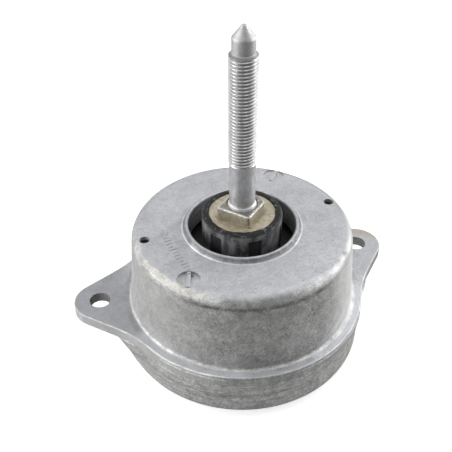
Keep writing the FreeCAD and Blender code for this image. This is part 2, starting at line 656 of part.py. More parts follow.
def decoupler():
    """Loose rubber membrane between the two grids."""
    body = new_body("decoupler")
    high = "(plate_joint - membrane_play)"
    low = "(plate_joint - membrane_play - membrane_thick)"
    turned(body, "membrane_form", [
        ("0", low), ("membrane_radius", low), ("membrane_radius", high), ("0", high)])
    return body


def channel_rivets():
    """The rivets that hold the two halves together, as a group."""
    body = new_body("channel_rivets")
    body.AllowCompound = True
    low, high = "(stack_low - rivet_head_height)", "(stack_top + rivet_head_height)"
    sketch = new_sketch(body, "rivet_outline", "XZ_Plane")
    out, shank = "(rivet_reach + rivet_head_radius)", "(rivet_reach + rivet_radius)"
    # The last edge of this outline is the rivet's own axis.
    draw_outline(sketch, [
        ("rivet_reach", low), (out, low), (out, "stack_low"), (shank, "stack_low"), (shank, "stack_top"),
        (out, "stack_top"), (out, high), ("rivet_reach", high)])
    rivet = body.newObject("PartDesign::Revolution", "rivet")
    rivet.Profile = sketch
    rivet.ReferenceAxis = (sketch, ["Edge8"])
    rivet.Angle = 360
    doc.recompute()
    around(body, "rivet_ring", rivet, "rivet_count")
    return body


def rim_seal():
    """Square-cut rubber ring in the groove of the channel body."""
    body = new_body("rim_seal")
    inner, low, high = "stack_radius - 2 * seal_half", "seal_level - seal_half", "seal_level + seal_half"
    turned(body, "seal_form", [(inner, low), ("stack_radius", low), ("stack_radius", high), (inner, high)])
    return body


def bellows_ring():
    """Steel ring that clamps the bellows' rim."""
    body = new_body("diaphragm_ring")
    turned(body, "bellows_ring_form", [
        ("bellows_bore", "ring_low"), ("stack_radius", "ring_low"), ("stack_radius", "stack_low"),
        ("bellows_bore", "stack_low")])
    return body


# The bellows' folds from its rim inwards: share of its radius, and share of its dip.
BELLOWS_FOLDS = [(0.9, 0.55), (0.76, 1.0), (0.6, 1.0), (0.42, 0.35), (0, 0.25)]


def bellows():
    """Thin rolling rubber wall below the channel body."""
    body = new_body("diaphragm")
    edge = "(bellows_bore - seat_gap)"
    above = [(edge, "stack_low - bellows_clamp")]
    for reach, dip in BELLOWS_FOLDS:
        above.append(("%s * %s" % (reach, edge) if reach else "0", "stack_low - %s * bellows_dip" % dip))
    below = [(across, up + " - bellows_thick") for across, up in reversed(above)]
    turned(body, "bellows_form", above + below)
    return body


def vent_plug():
    """Breather pressed into the cup's floor, for the air below the bellows."""
    body = new_body("vent_plug")
    brim, high = "(vent_radius + vent_brim)", "(floor_level + vent_head)"
    turned(body, "vent_form", [
        ("vent_bore", "vent_inset"), ("vent_radius - press_gap", "vent_inset"),
        ("vent_radius - press_gap", "floor_level"), (brim, "floor_level"), (brim, high), ("vent_bore", high)])
    return body


def bump_pad():
    """Rubber stop that meets the core at the end of its downward travel."""
    body = new_body("bump_pad")
    high, narrow = "(stack_top + pad_height)", "(pad_radius - pad_taper)"
    form = turned(body, "pad_form", [
        ("0", "stack_top"), ("pad_radius", "stack_top"), (narrow, high), ("0", high)])
    softened(body, "pad_edge", form, ring_edges(form, narrow, high), "pad_round")
    return body


# The core and what moves with it.

def core_cone():
    """Light alloy cone that the main spring is bonded to, with a blind bore for the stud."""
    body = new_body("core_cone")
    turned(body, "cone_form", [
        ("0", "cone_level"), ("cone_foot_radius", "cone_level"), ("cone_head_radius", "cone_top - cone_edge"),
        ("cone_head_radius", "cone_top"), ("hug_radius", "cone_top"), ("hug_radius", "cone_top - stud_depth"),
        ("0", "cone_top - stud_depth")])
    return body


def stop_plate():
    """Steel plate that catches on the bell's collar if the core is pulled up."""
    body = new_body("rebound_plate")
    form = turned(body, "plate_form", [
        ("hug_radius", "cone_top"), ("stop_radius", "cone_top"), ("stop_radius", "stop_top"),
        ("hug_radius", "stop_top")])
    softened(body, "plate_edge", form, ring_edges(form, "stop_radius", "cone_top"), "stop_round")
    return body


def stop_buffer():
    """Rubber ring on the stop plate, round the foot of the neck."""
    body = new_body("rebound_buffer")
    out = "(stop_radius - buffer_inset)"
    form = turned(body, "buffer_form", [
        ("neck_hug", "stop_top"), (out, "stop_top"), (out, "buffer_top"), ("neck_hug", "buffer_top")])
    softened(body, "buffer_edge", form, ring_edges(form, out, "buffer_top"), "buffer_round")
    return body


def square_block(body, name, width, low, height):
    """A square block round the stud, from the disc up, with its upright corners rounded."""
    sketch = new_sketch(body, name + "_outline", "XY_Plane", "disc_level", "boss_turn + 45")
    half = "(%s / 2)" % width
    draw_outline(sketch, [("-" + half, "-" + half), (half, "-" + half), (half, half), ("-" + half, half)])
    draw_circle(sketch, "hug_radius")
    block = pushed(body, name, sketch, height)
    corners = upright_edges(block, low, "disc_level + " + height, width + " * sqrt(0.5)")
    return softened(body, name + "_corners", block, corners, "boss_corner")


def core_head():
    """Steel head: neck, disc and square boss in one piece, pressed on the stud."""
    body = new_body("core_head")
    turned(body, "head_form", [
        ("hug_radius", "stop_top"), ("neck_radius", "stop_top"), ("neck_radius", "disc_low"),
        ("disc_radius", "disc_low"), ("disc_radius", "disc_level"), ("hug_radius", "disc_level")])
    step_width = "(boss_width + 2 * boss_ledge)"
    square_block(body, "boss_step", step_width, "disc_level", "boss_ledge_height")
    boss = square_block(body, "boss", "boss_width", "disc_level + boss_ledge_height", "boss_height")
    rim = level_edges(boss, "boss_top", "boss_width / 2 - boss_bevel")
    bevelled(body, "boss_bevels", boss, rim, "boss_bevel")
    well = new_sketch(body, "well_outline", "XY_Plane", "boss_top")
    draw_circle(well, "well_radius")
    pushed(body, "boss_well", well, "well_depth", cut=True)
    return body


def rubber_collar():
    """Rubber sleeve round the neck and the disc, with shallow recesses down its side."""
    body = new_body("rubber_collar")
    bore, disc_bore, low_disc = "neck_hug", "(disc_radius + seat_gap)", "(disc_low - seat_gap)"
    form = turned(body, "collar_form", [
        (bore, "buffer_top"), ("collar_radius", "buffer_top"), ("collar_radius", "collar_top"),
        (disc_bore, "collar_top"), (disc_bore, low_disc), (bore, low_disc)])
    form = softened(body, "collar_rim", form, ring_edges(form, "collar_radius", "collar_top"), "collar_round")
    side = new_sketch(body, "recess_outline", "XY_Plane", "collar_top - recess_top", "recess_turn")
    inner, outer = "(collar_radius - recess_depth)", "(collar_radius + recess_depth)"
    half = "(recess_width / 2)"
    draw_outline(side, [(inner, "-" + half), (outer, "-" + half), (outer, half), (inner, half)])
    recess = pushed(body, "recess", side, "collar_top - recess_top - buffer_top", cut=True)
    around(body, "recess_ring", recess, "recess_count")
    return body


def stud():
    """Long stud: plain shank, thread left smooth, pilot and cone point, with a pressed bead at the boss."""
    body = new_body("stud")
    bead_low, bead_high = "(boss_top - bead_height / 2)", "(boss_top + bead_height / 2)"
    low = "(cone_top - stud_depth + press_gap)"
    form = turned(body, "stud_form", [
        ("0", low), ("shank_radius", low), ("shank_radius", bead_low),
        ("bead_radius", bead_low + " + bead_slope"), ("bead_radius", bead_high + " - bead_slope"),
        ("shank_radius", bead_high), ("shank_radius", "thread_low"),
        ("thread_radius", "thread_low + thread_runout"), ("thread_radius", "thread_top"),
        ("pilot_radius", "pilot_low"), ("pilot_radius", "pilot_top"), ("point_flat", "point_top"),
        ("0", "point_top")])
    softened(body, "pilot_edge", form, ring_edges(form, "pilot_radius", "pilot_top"), "point_round")
    return body


def check_and_write(bodies):
    """Stops on any failed object or bad solid, and writes each piece to its own file."""
    doc.recompute()
    for item in doc.Objects:
        if "Invalid" in item.State or "Error" in item.State:
            raise RuntimeError("failed object: " + item.Name)
    os.makedirs("parts", exist_ok=True)
    for body in bodies:
        shape = body.Shape
        if shape.isNull() or not shape.isValid() or not shape.Solids:
            raise RuntimeError("bad solid: " + body.Label)
        shape.exportStep("parts/%s.step" % body.Label)
        print("%-16s %2d solid  %9.1f mm3" % (body.Label, len(shape.Solids), shape.Volume))


check_and_write([
    upper_housing(), lower_housing(), spring_ring(), main_spring(), channel_top(), channel_base(),
    decoupler(), channel_rivets(), rim_seal(), bellows_ring(), bellows(), vent_plug(), bump_pad(),
    core_cone(), stop_plate(), stop_buffer(), core_head(), rubber_collar(), stud()])
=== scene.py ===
import math

import bpy
import numpy as np
from mathutils import Matrix, Vector


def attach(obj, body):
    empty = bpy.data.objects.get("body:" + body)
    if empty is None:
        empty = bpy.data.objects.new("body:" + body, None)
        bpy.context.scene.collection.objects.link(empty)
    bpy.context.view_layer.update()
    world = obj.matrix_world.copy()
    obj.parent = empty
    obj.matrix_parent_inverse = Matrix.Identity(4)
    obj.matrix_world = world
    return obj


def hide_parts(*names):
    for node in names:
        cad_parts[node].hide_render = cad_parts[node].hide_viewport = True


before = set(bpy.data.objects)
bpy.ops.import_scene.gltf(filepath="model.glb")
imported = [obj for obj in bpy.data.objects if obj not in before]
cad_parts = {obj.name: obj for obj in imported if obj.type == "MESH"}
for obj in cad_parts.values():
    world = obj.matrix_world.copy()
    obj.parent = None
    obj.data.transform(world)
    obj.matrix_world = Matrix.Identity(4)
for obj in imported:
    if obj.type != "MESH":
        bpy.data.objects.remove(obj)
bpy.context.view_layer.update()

# Heights and radii that the looks share with the solids, in millimetres.
BELL_TOP = 63.2
FLANGE_TOP = 26.5
SPIGOT_TOP = 23.3
JOINT = 21.5
RING_LOW = 15.1
MOULD_LINE = 14.3
FLOOR_LEVEL = 4.2
FOOT_HEIGHT = 0.6
STUD_LOW = 36.95
HEAD_LOW = 47.1
BUFFER_TOP = 49.7
DISC_LOW = 67.4
DISC_LEVEL = 70.6
COLLAR_TOP = 71.1
BOSS_TOP = 75.5
THREAD_LOW = 96.4
THREAD_HIGH = 145.2
PILOT_LOW = 146.4
PILOT_TOP = 152.1
STUD_TOP = 157.5
MOUTH_RADIUS = 23.4
LIP_RISE = 2.2
LIP_WIDTH = 2.9
BELL_HEAD_RADIUS = 48.3
BELL_FOOT_RADIUS = 51.0
FLANGE_RADIUS = 55.6
CUP_RADIUS = 54.8
CUP_LOW_RADIUS = 54.55
CUP_ROUND = 7.0
SPIGOT_RADIUS = 52.6
SEAT_RADIUS = 50.2
CUP_BORE = 44.8
FOOT_RADIUS = 44.0
VENT_RADIUS = 3.0
EAR_REACH = 65.4
EAR_ANGLE = 10.9
EAR_ROUND = 11.8
EAR_FLARE = 35.0
DISC_RADIUS = 14.6
COLLAR_RADIUS = 17.5
COLLAR_ROUND = 1.5
RECESS_COUNT = 6
RECESS_DEPTH = 0.9
SHANK_RADIUS = 5.55
CREST_RADIUS = 5.93
PILOT_RADIUS = 4.7
NECK_RADIUS = 10.8
BORE_RADIUS = 5.6
# The row of strokes on the flat top: its middle, and the cosine and sine of its direction.
ROW_MIDDLE = (-32.4, -9.5)
ROW_ALONG = (0.17, -0.985)
# A painted shadow at a corner of the near plug in the flat top.
PLUG_SHADOW = (-30.3, -23.4)
# The camera: its direction in degrees, its distance and the side shift of what it looks at in millimetres,
# and its focal length and the picture's width in pixels.
CAMERA_TURN, CAMERA_RISE, CAMERA_ROLL = -18.1, 38.465, 0.317
CAMERA_DISTANCE = 359.66
CAMERA_SHIFT = 7.005
FOCAL_PIXELS = 820
PICTURE_PIXELS = 452
SENSOR_WIDTH = 36
# The boss's sides, each as its outward turn in degrees and its distance from the stud's axis. One corner
# is cut off.
BOSS_SIDES = ((-137.5, 8.1), (-49.5, 8.0), (2.0, 9.5), (38.0, 8.2), (131.5, 7.75))


# Shader building.

class Shade:
    """Adds nodes to one material or one shared effect, and joins them."""

    def __init__(self, tree):
        self.tree = tree

    def add(self, kind, **settings):
        node = self.tree.nodes.new(kind)
        for name, setting in settings.items():
            setattr(node, name, setting)
        return node

    def feed(self, socket, source):
        """Joins a socket to another node's output, or sets its value."""
        if isinstance(source, bpy.types.NodeSocket):
            self.tree.links.new(source, socket)
        else:
            socket.default_value = source

    def calc(self, operation, *values, clamp=False):
        node = self.add("ShaderNodeMath", operation=operation, use_clamp=clamp)
        for socket, source in zip(node.inputs, values):
            self.feed(socket, source)
        return node.outputs[0]

    def vector(self, operation, *values):
        node = self.add("ShaderNodeVectorMath", operation=operation)
        for socket, source in zip(node.inputs, values):
            self.feed(socket, source)
        return node.outputs[0]

    def fill(self, node, **values):
        """Feeds the node's named inputs, where a low line stands for a space in the name."""
        for name, source in values.items():
            self.feed(node.inputs[name.replace("_", " ")], source)
        return node.outputs

    def product(self, first, *others):
        """Sources multiplied together."""
        for source in others:
            first = self.calc("MULTIPLY", first, source)
        return first

    def ramp(self, source, low, high, start=0.0, end=1.0):
        """A smooth step of the source from start at low to end at high."""
        node = self.add("ShaderNodeMapRange", interpolation_type="SMOOTHSTEP")
        return self.fill(node, Value=source, From_Min=low, From_Max=high, To_Min=start, To_Max=end)[0]

    def split(self, vector):
        node = self.add("ShaderNodeSeparateXYZ")
        self.feed(node.inputs[0], vector)
        return node.outputs[0], node.outputs[1], node.outputs[2]

    def length(self, across, up):
        """The square root of the sum of two squares."""
        return self.calc("SQRT", self.calc("ADD", self.product(across, across), self.product(up, up)))

    def total(self, *terms):
        """The sum of sources, each multiplied by its share."""
        found = 0.0
        for source, share in terms:
            found = self.calc("MULTIPLY_ADD", source, share, found)
        return found

    def band(self, source, middle, width):
        """One at the middle, falling smoothly to nothing a width away on both sides."""
        away = self.calc("ABSOLUTE", self.calc("SUBTRACT", source, middle))
        return self.ramp(away, 0.0, width, 1.0, 0.0)

    def noise(self, point, scale, detail=3.0, rough=0.55, distortion=0.0):
        node = self.add("ShaderNodeTexNoise")
        return self.fill(node, Vector=point, Scale=scale, Detail=detail, Roughness=rough,
                         Distortion=distortion)["Fac"]

    def stretched(self, point, across, up):
        """The point with its sideways and upright sizes multiplied, for streaks."""
        return self.vector("MULTIPLY", point, (across, across, up))

    def mix(self, factor, first, second):
        """A colour between two, by a factor."""
        node = self.add("ShaderNodeMix", data_type="RGBA")
        for key, source in (("Factor", factor), (6, first), (7, second)):
            self.feed(node.inputs[key], source)
        return node.outputs[2]

    def shift(self, factor, first, second):
        """A number between two, by a factor."""
        node = self.add("ShaderNodeMix", data_type="FLOAT")
        for socket, source in ((node.inputs[0], factor), (node.inputs[2], first), (node.inputs[3], second)):
            self.feed(socket, source)
        return node.outputs[0]

    def group(self, tree, **values):
        return self.fill(self.add("ShaderNodeGroup", node_tree=tree), **values)

    def bump(self, height, strength, distance):
        return self.fill(self.add("ShaderNodeBump"), Height=height, Strength=strength, Distance=distance)[0]


def effect(name, inputs, outputs):
    """An empty shared effect with named sockets: the shading tools, its inputs and its output node."""
    tree = bpy.data.node_groups.new(name, "ShaderNodeTree")
    kinds = {"f": "NodeSocketFloat", "v": "NodeSocketVector", "c": "NodeSocketColor"}
    for label, kind, value in inputs:
        socket = tree.interface.new_socket(label, in_out="INPUT", socket_type=kinds[kind])
        if value is not None:
            socket.default_value = value
    for label, kind in outputs:
        tree.interface.new_socket(label, in_out="OUTPUT", socket_type=kinds[kind])
    shade = Shade(tree)
    return shade, shade.add("NodeGroupInput").outputs, shade.add("NodeGroupOutput").inputs


def material(name, build):
    """A material whose build function gives the values of its surface shader's sockets."""
    made = bpy.data.materials.new(name)
    made.use_nodes = True
    shade = Shade(made.node_tree)
    surface = made.node_tree.nodes["Principled BSDF"]
    for label, source in build(shade).items():
        shade.feed(surface.inputs[label], source)
    return made


def place_effect():
    """The point in millimetres, its distance from the stud's axis, its height, and its turn in degrees."""
    shade, given, out = effect("place", [], [
        ("Point", "v"), ("Radius", "f"), ("Height", "f"), ("Turn", "f")])
    metres = shade.add("ShaderNodeTexCoord").outputs["Object"]
    point = shade.vector("MULTIPLY", metres, (1000.0, 1000.0, 1000.0))
    x, y, z = shade.split(point)
    shade.feed(out["Point"], point)
    shade.feed(out["Radius"], shade.length(x, y))
    shade.feed(out["Height"], z)
    shade.feed(out["Turn"], shade.calc("DEGREES", shade.calc("ARCTAN2", y, x)))
    return shade.tree


def rim_effect():
    """How far a point of the flange or an ear lies in from its outline, in millimetres.

    It also gives a mask of the ears, and the distance from the middle of the ear's hole.
    In an ear's own frame, u runs along the ear and v across it. The ear's end is in by (round - distance
    from its hole), its sides by (round + reach sin flare - |v| cos flare - u sin flare), and the flange by
    (flange radius - radius). A smooth maximum of ear and flange stands for the hollow blend between them."""
    shade, given, out = effect("rim", [("Point", "v", None), ("Radius", "f", 0.0)], [
        ("Inset", "f"), ("Ear", "f"), ("Bolt", "f")])
    x, y, z = shade.split(given["Point"])
    turn, flare = math.radians(EAR_ANGLE), math.radians(EAR_FLARE)
    x = shade.calc("ABSOLUTE", x)
    u = shade.total((x, math.cos(turn)), (y, math.sin(turn)))
    v = shade.calc("ABSOLUTE", shade.total((y, math.cos(turn)), (x, -math.sin(turn))))
    bolt = shade.length(shade.calc("SUBTRACT", u, EAR_REACH), v)
    end = shade.calc("SUBTRACT", EAR_ROUND, bolt)
    line = shade.calc("SUBTRACT", EAR_ROUND + EAR_REACH * math.sin(flare),
                      shade.total((v, math.cos(flare)), (u, math.sin(flare))))
    past = shade.calc("GREATER_THAN", u, EAR_REACH + EAR_ROUND * math.sin(flare))
    ear = shade.shift(past, line, end)
    flange = shade.calc("SUBTRACT", FLANGE_RADIUS, given["Radius"])
    shade.feed(out["Inset"], shade.calc("SMOOTH_MAX", ear, flange, 7.0))
    shade.feed(out["Ear"], shade.ramp(shade.calc("SUBTRACT", ear, flange), -1.0, 2.0))
    shade.feed(out["Bolt"], bolt)
    return shade.tree


def ring_effect():
    """A mask that is one on a circle round the stud's axis and fades out a width away from it."""
    shade, given, out = effect("edge ring", [
        ("Radius", "f", 0.0), ("Height", "f", 0.0), ("Ring Radius", "f", 10.0), ("Ring Height", "f", 0.0),
        ("Width", "f", 1.0)], [("Mask", "f")])
    across = shade.calc("SUBTRACT", given["Radius"], given["Ring Radius"])
    up = shade.calc("SUBTRACT", given["Height"], given["Ring Height"])
    away = shade.calc("DIVIDE", shade.length(across, up), given["Width"])
    shade.feed(out["Mask"], shade.ramp(away, 0.0, 1.0, 1.0, 0.0))
    return shade.tree


def skin_effect():
    """A tumbled casting's skin: wide blotches, close mottle, fine grain, dark veins, specks and relief."""
    shade, given, out = effect("cast skin", [("Point", "v", None)], [
        ("Blotch", "f"), ("Mottle", "f"), ("Grain", "f"), ("Veins", "f"), ("Specks", "f"), ("Relief", "f")])
    point = given["Point"]
    blotch = shade.noise(point, 0.075, 4.0, 0.6, 0.6)
    mottle = shade.noise(point, 0.4, 5.0, 0.68, 0.8)
    grain = shade.noise(point, 1.3, 3.0, 0.75)
    veins = shade.product(shade.band(shade.noise(point, 0.2, 6.0, 0.66, 0.8), 0.5, 0.02),
                       shade.ramp(shade.noise(point, 0.11, 2.0), 0.44, 0.6))
    cracks = shade.product(shade.band(shade.noise(point, 0.7, 4.0, 0.65, 1.4), 0.5, 0.04),
                        shade.ramp(shade.noise(point, 0.16, 3.0), 0.4, 0.6))
    veins = shade.calc("MAXIMUM", veins, cracks)
    specks = shade.ramp(shade.noise(point, 0.9, 2.0, 0.5), 0.62, 0.7)
    relief = shade.total((grain, 0.45), (mottle, 0.55), (veins, -0.3))
    for label, source in (("Blotch", blotch), ("Mottle", mottle), ("Grain", grain), ("Veins", veins),
                          ("Specks", specks), ("Relief", relief)):
        shade.feed(out[label], source)
    return shade.tree


PLACE = place_effect()
RIM = rim_effect()
RING = ring_effect()
SKIN = skin_effect()


def grey(level):
    return level, level, level, 1


def cast_tone(shade, skin, pale, dark, vein):
    """Base colour of the castings: two greys mixed by blotches, mottle and grain, with veins and specks."""
    blend = shade.total((skin["Blotch"], 0.65), (skin["Mottle"], 0.9), (skin["Grain"], 1.0))
    colour = shade.mix(shade.ramp(blend, 1.0, 1.56), dark, pale)
    colour = shade.mix(shade.product(skin["Veins"], vein), colour, grey(0.14))
    return shade.mix(shade.product(skin["Specks"], 0.45), colour, (0.2, 0.2, 0.21, 1))


def stamped_row(shade, point):
    """A straight row of short plain strokes on the flat top: one every pitch, each with its own length."""
    x, y, z = shade.split(point)
    (cosine, sine), (middle_x, middle_y) = ROW_ALONG, ROW_MIDDLE
    along = shade.total((x, cosine), (y, sine), (1.0, -cosine * middle_x - sine * middle_y))
    across = shade.total((x, -sine), (y, cosine), (1.0, sine * middle_x - cosine * middle_y))
    step = shade.calc("DIVIDE", along, 2.1)
    index = shade.calc("FLOOR", step)
    stroke = shade.band(shade.calc("SUBTRACT", step, index), 0.5, 0.17)
    reach = shade.calc("MULTIPLY_ADD", shade.calc("SINE", shade.product(index, 2.4)), 0.45, 1.35)
    inside = shade.calc("LESS_THAN", shade.calc("ABSOLUTE", across), reach)
    row = shade.calc("LESS_THAN", shade.calc("ABSOLUTE", index), 6.5)
    high = shade.calc("GREATER_THAN", z, BELL_TOP - 0.2)
    return shade.product(stroke, inside, shade.product(row, high))


class Spot:
    """A point of the bell: its place, how far in from the outline it lies, and the casting's skin there."""

    def __init__(self, shade):
        self.shade = shade
        place = shade.group(PLACE)
        self.point, self.radius = place["Point"], place["Radius"]
        self.height, self.turn = place["Height"], place["Turn"]
        self.x, self.y, self.z = shade.split(self.point)
        self.skin = shade.group(SKIN, Point=self.point)
        self.outline = shade.group(RIM, Point=self.point, Radius=self.radius)
        self.wear_and_light_noise = shade.noise(shade.stretched(self.point, 0.6, 1.0), 0.45, 5.0, 0.75)
        self.flange = shade.product(shade.band(self.height, FLANGE_TOP, 0.4),
                                    shade.ramp(self.radius, BELL_FOOT_RADIUS, BELL_FOOT_RADIUS + 1.4))

    def ring(self, radius, height, width):
        """Mask of a circle round the stud's axis."""
        return self.shade.group(RING, Radius=self.radius, Height=self.height, Ring_Radius=radius,
                                Ring_Height=height, Width=width)["Mask"]


def bell_side(shade, spot):
    """The bell's side: mottled and veined, evener at the left, and paler at the right with painted light."""
    side = cast_tone(shade, spot.skin, (0.68, 0.68, 0.67, 1), (0.36, 0.36, 0.355, 1), 0.85)
    side = shade.mix(shade.ramp(spot.x, -46.0, -24.0, 0.4, 0.0), side, (0.48, 0.48, 0.475, 1))
    # Painted light makes the front right of the side paler.
    right = shade.product(shade.ramp(spot.x, 16.0, 42.0, 0.0, 0.75), shade.ramp(spot.y, -14.0, 0.0, 1.0, 0.0))
    return shade.mix(right, side, (0.85, 0.85, 0.84, 1))


def bell_flats(shade, spot):
    """The flat faces: finer and bluish, with level scratches."""
    flat = cast_tone(shade, spot.skin, (0.55, 0.56, 0.585, 1), (0.41, 0.42, 0.44, 1), 0.4)
    lines = shade.noise(shade.vector("MULTIPLY", spot.point, (0.1, 1.5, 1.0)), 0.8, 3.0, 0.6)
    return shade.mix(shade.product(shade.band(lines, 0.5, 0.012), 0.35), flat, (0.7, 0.7, 0.72, 1))


def flange_tone(shade, spot, colour):
    """Tones of the flange and the ears: their top and outer faces, and the walls of the bolts' holes."""
    x, height, ear = spot.x, spot.height, spot.outline["Ear"]
    # The left ear is duller, and so are both ears along the bell's foot. The flange between them is paler.
    dull = shade.product(spot.flange, shade.ramp(x, -56.0, -44.0, 1.0, 0.0), 0.5)
    colour = shade.mix(dull, colour, (0.25, 0.255, 0.27, 1))
    along = shade.product(shade.band(spot.radius, BELL_FOOT_RADIUS + 2.2, 2.4),
                          shade.ramp(spot.skin["Blotch"], 0.35, 0.65))
    colour = shade.mix(shade.product(spot.flange, along, ear, 0.45), colour, (0.2, 0.195, 0.18, 1))
    between = shade.product(spot.flange, shade.calc("SUBTRACT", 1.0, ear), 0.4)
    colour = shade.mix(between, colour, (0.72, 0.73, 0.75, 1))
    # Painted shade darkens the right ear's outer end.
    end = shade.product(spot.flange, shade.ramp(x, 54.0, 60.0, 0.0, 0.3))
    colour = shade.mix(end, colour, (0.36, 0.36, 0.37, 1))
    # Painted light makes the outer faces paler at the left, and painted shade makes them darker at the right.
    outer = shade.product(shade.ramp(spot.outline["Inset"], 0.7, 0.3),
                          shade.ramp(height, FLANGE_TOP - 0.1, FLANGE_TOP - 0.4))
    colour = shade.mix(shade.product(outer, shade.ramp(x, -30.0, 0.0, 0.3, 0.0)), colour, grey(0.75))
    colour = shade.mix(shade.product(outer, shade.ramp(x, 10.0, 40.0, 0.0, 0.5)), colour, grey(0.2))
    # Painted shade darkens the walls of the bolts' holes, most in the left one.
    darkening = shade.ramp(shade.total((spot.skin["Mottle"], 1.0), (x, -0.05)), 3.45, 3.95, 0.15, 0.85)
    wall = shade.product(shade.ramp(spot.outline["Bolt"], 5.3, 4.9),
                         shade.ramp(height, FLANGE_TOP - 0.1, FLANGE_TOP - 0.5), darkening)
    return shade.mix(wall, colour, (0.11, 0.105, 0.09, 1))


def top_tone(shade, spot, colour):
    """Painted shade on the lip between its edges, in the mouth's bore and in the small blind holes.

    Painted light makes the two plugs' floors pale, with a painted shadow at one corner of the near plug.
    """
    radius, height = spot.radius, spot.height
    # Painted shade on the lip between its edges.
    lip = shade.product(shade.band(radius, MOUTH_RADIUS + 1.9, 1.7),
                        shade.ramp(height, BELL_TOP, BELL_TOP + 0.6),
                        shade.ramp(spot.skin["Mottle"], 0.35, 0.6, 0.95, 0.65))
    colour = shade.mix(lip, colour, (0.14, 0.14, 0.145, 1))
    # Painted shade in the mouth's bore.
    bore = shade.ramp(radius, MOUTH_RADIUS + 0.5, MOUTH_RADIUS + 0.15, 0.0, 0.4)
    colour = shade.mix(bore, colour, grey(0.16))
    inside = shade.ramp(radius, 47.0, 46.0)
    # Painted light makes the two plugs' floors pale.
    plug = shade.product(inside, shade.band(height, BELL_TOP - 1.1, 0.5))
    colour = shade.mix(shade.product(plug, 0.3), colour, (0.75, 0.76, 0.78, 1))
    # A painted shadow at one corner of the near plug.
    away = shade.length(shade.calc("SUBTRACT", spot.x, PLUG_SHADOW[0]), shade.calc("SUBTRACT", spot.y, PLUG_SHADOW[1]))
    corner_shadow = shade.product(plug, shade.ramp(away, 1.8, 0.5, 0.0, 0.8))
    colour = shade.mix(corner_shadow, colour, (0.06, 0.06, 0.065, 1))
    # Painted shade in the small blind holes.
    hole = shade.product(inside, shade.ramp(height, BELL_TOP - 1.5, BELL_TOP - 2.0),
                         shade.ramp(radius, 30.0, 32.0), 0.85)
    return shade.mix(hole, colour, (0.04, 0.04, 0.045, 1))


def rim_wear_and_shade(shade, spot, colour):
    """The rim of the top, rubbed to a dull cream, most at the front left. Also gives that wear's mask.

    Painted shade darkens it at the right and at the front.
    """
    around = shade.calc("MAXIMUM", shade.band(spot.turn, -146.0, 60.0),
                        shade.product(shade.band(spot.turn, -50.0, 48.0), 0.45))
    ring = shade.product(spot.ring(BELL_HEAD_RADIUS - 1.9, BELL_TOP - 1.8, 4.2), around)
    worn = shade.ramp(shade.total((ring, 1.0), (spot.wear_and_light_noise, 1.1), (1.0, -0.55)), 0.5, 0.66)
    colour = shade.mix(shade.product(worn, 0.85), colour, (0.74, 0.725, 0.685, 1))
    pits = shade.product(worn, shade.ramp(shade.noise(spot.point, 1.1, 3.0, 0.7), 0.55, 0.62), 0.6)
    colour = shade.mix(pits, colour, (0.3, 0.29, 0.27, 1))
    # At the right painted shade darkens it.
    right = shade.product(shade.ramp(spot.ring(BELL_HEAD_RADIUS - 0.8, BELL_TOP - 1.6, 4.5), 0.0, 0.6),
                          shade.ramp(spot.x, 16.0, 36.0, 0.0, 0.6))
    colour = shade.mix(right, colour, (0.3, 0.3, 0.305, 1))
    # At the front painted shade darkens it, over a dark mottled line of painted shade where its round meets
    # the side.
    front = shade.band(spot.turn, -98.0, 52.0)
    dim = shade.product(spot.ring(BELL_HEAD_RADIUS - 1.0, BELL_TOP - 1.2, 3.6),
                        shade.ramp(shade.product(front, spot.wear_and_light_noise), 0.2, 0.5, 0.0, 0.62))
    colour = shade.mix(dim, colour, grey(0.2))
    line = shade.product(spot.ring(BELL_HEAD_RADIUS + 0.3, BELL_TOP - 4.5, 1.7),
                         shade.ramp(shade.noise(spot.point, 0.35, 4.0, 0.7), 0.36, 0.56, 0.25, 1.0),
                         shade.ramp(front, 0.0, 0.4), 0.72)
    return shade.mix(line, colour, grey(0.08)), worn


def bright_lines(shade, spot, colour):
    """Thin bright lines: a painted highlight in the hollow over the flange, and worn edges with
    painted highlights on the outline of flange and ears and on both edges of the lip.

    At the right painted shade darkens the hollow instead. Also gives the mask of the bright hollow."""
    # A painted highlight in the hollow, and worn edges with painted highlights.
    hollow = shade.ramp(spot.ring(BELL_FOOT_RADIUS + 0.5, FLANGE_TOP + 0.5, 1.2), 0.4, 0.95)
    edge = shade.product(shade.band(spot.outline["Inset"], 0.3, 0.5),
                         shade.band(spot.height, FLANGE_TOP, 0.8),
                         shade.ramp(spot.wear_and_light_noise, 0.36, 0.56), shade.ramp(spot.x, 20.0, 50.0, 1.0, 0.2))
    foot = spot.ring(MOUTH_RADIUS + LIP_WIDTH, BELL_TOP, 0.55)
    crest = spot.ring(MOUTH_RADIUS + 1.0, BELL_TOP + LIP_RISE, 0.7)
    shadow = shade.product(hollow, shade.ramp(spot.x, 10.0, 40.0, 0.0, 0.5))
    colour = shade.mix(shadow, colour, grey(0.25))
    hollow = shade.product(hollow, shade.ramp(spot.x, 0.0, 30.0, 0.2, 0.0))
    lines = shade.total((hollow, 1.0), (edge, 0.3), (foot, 0.8), (crest, 0.35))
    bright = shade.calc("MULTIPLY", lines, shade.ramp(spot.skin["Mottle"], 0.3, 0.55, 0.6, 1.0), clamp=True)
    return shade.mix(bright, colour, (0.8, 0.8, 0.81, 1)), hollow


def ear_stain(shade, spot, colour):
    """A yellow brown stain along the far edge of the right ear."""
    turn = math.radians(EAR_ANGLE)
    far = shade.total((spot.x, -math.sin(turn)), (spot.y, math.cos(turn)))
    stain = shade.product(shade.ramp(far, -3.0, 3.0), shade.ramp(spot.x, 48.0, 58.0),
                          shade.ramp(spot.outline["Inset"], 1.5, 7.0, 1.0, 0.0),
                          shade.ramp(shade.noise(spot.point, 0.3, 3.0), 0.36, 0.6, 0.3, 0.85))
    return shade.mix(stain, colour, (0.44, 0.37, 0.22, 1))


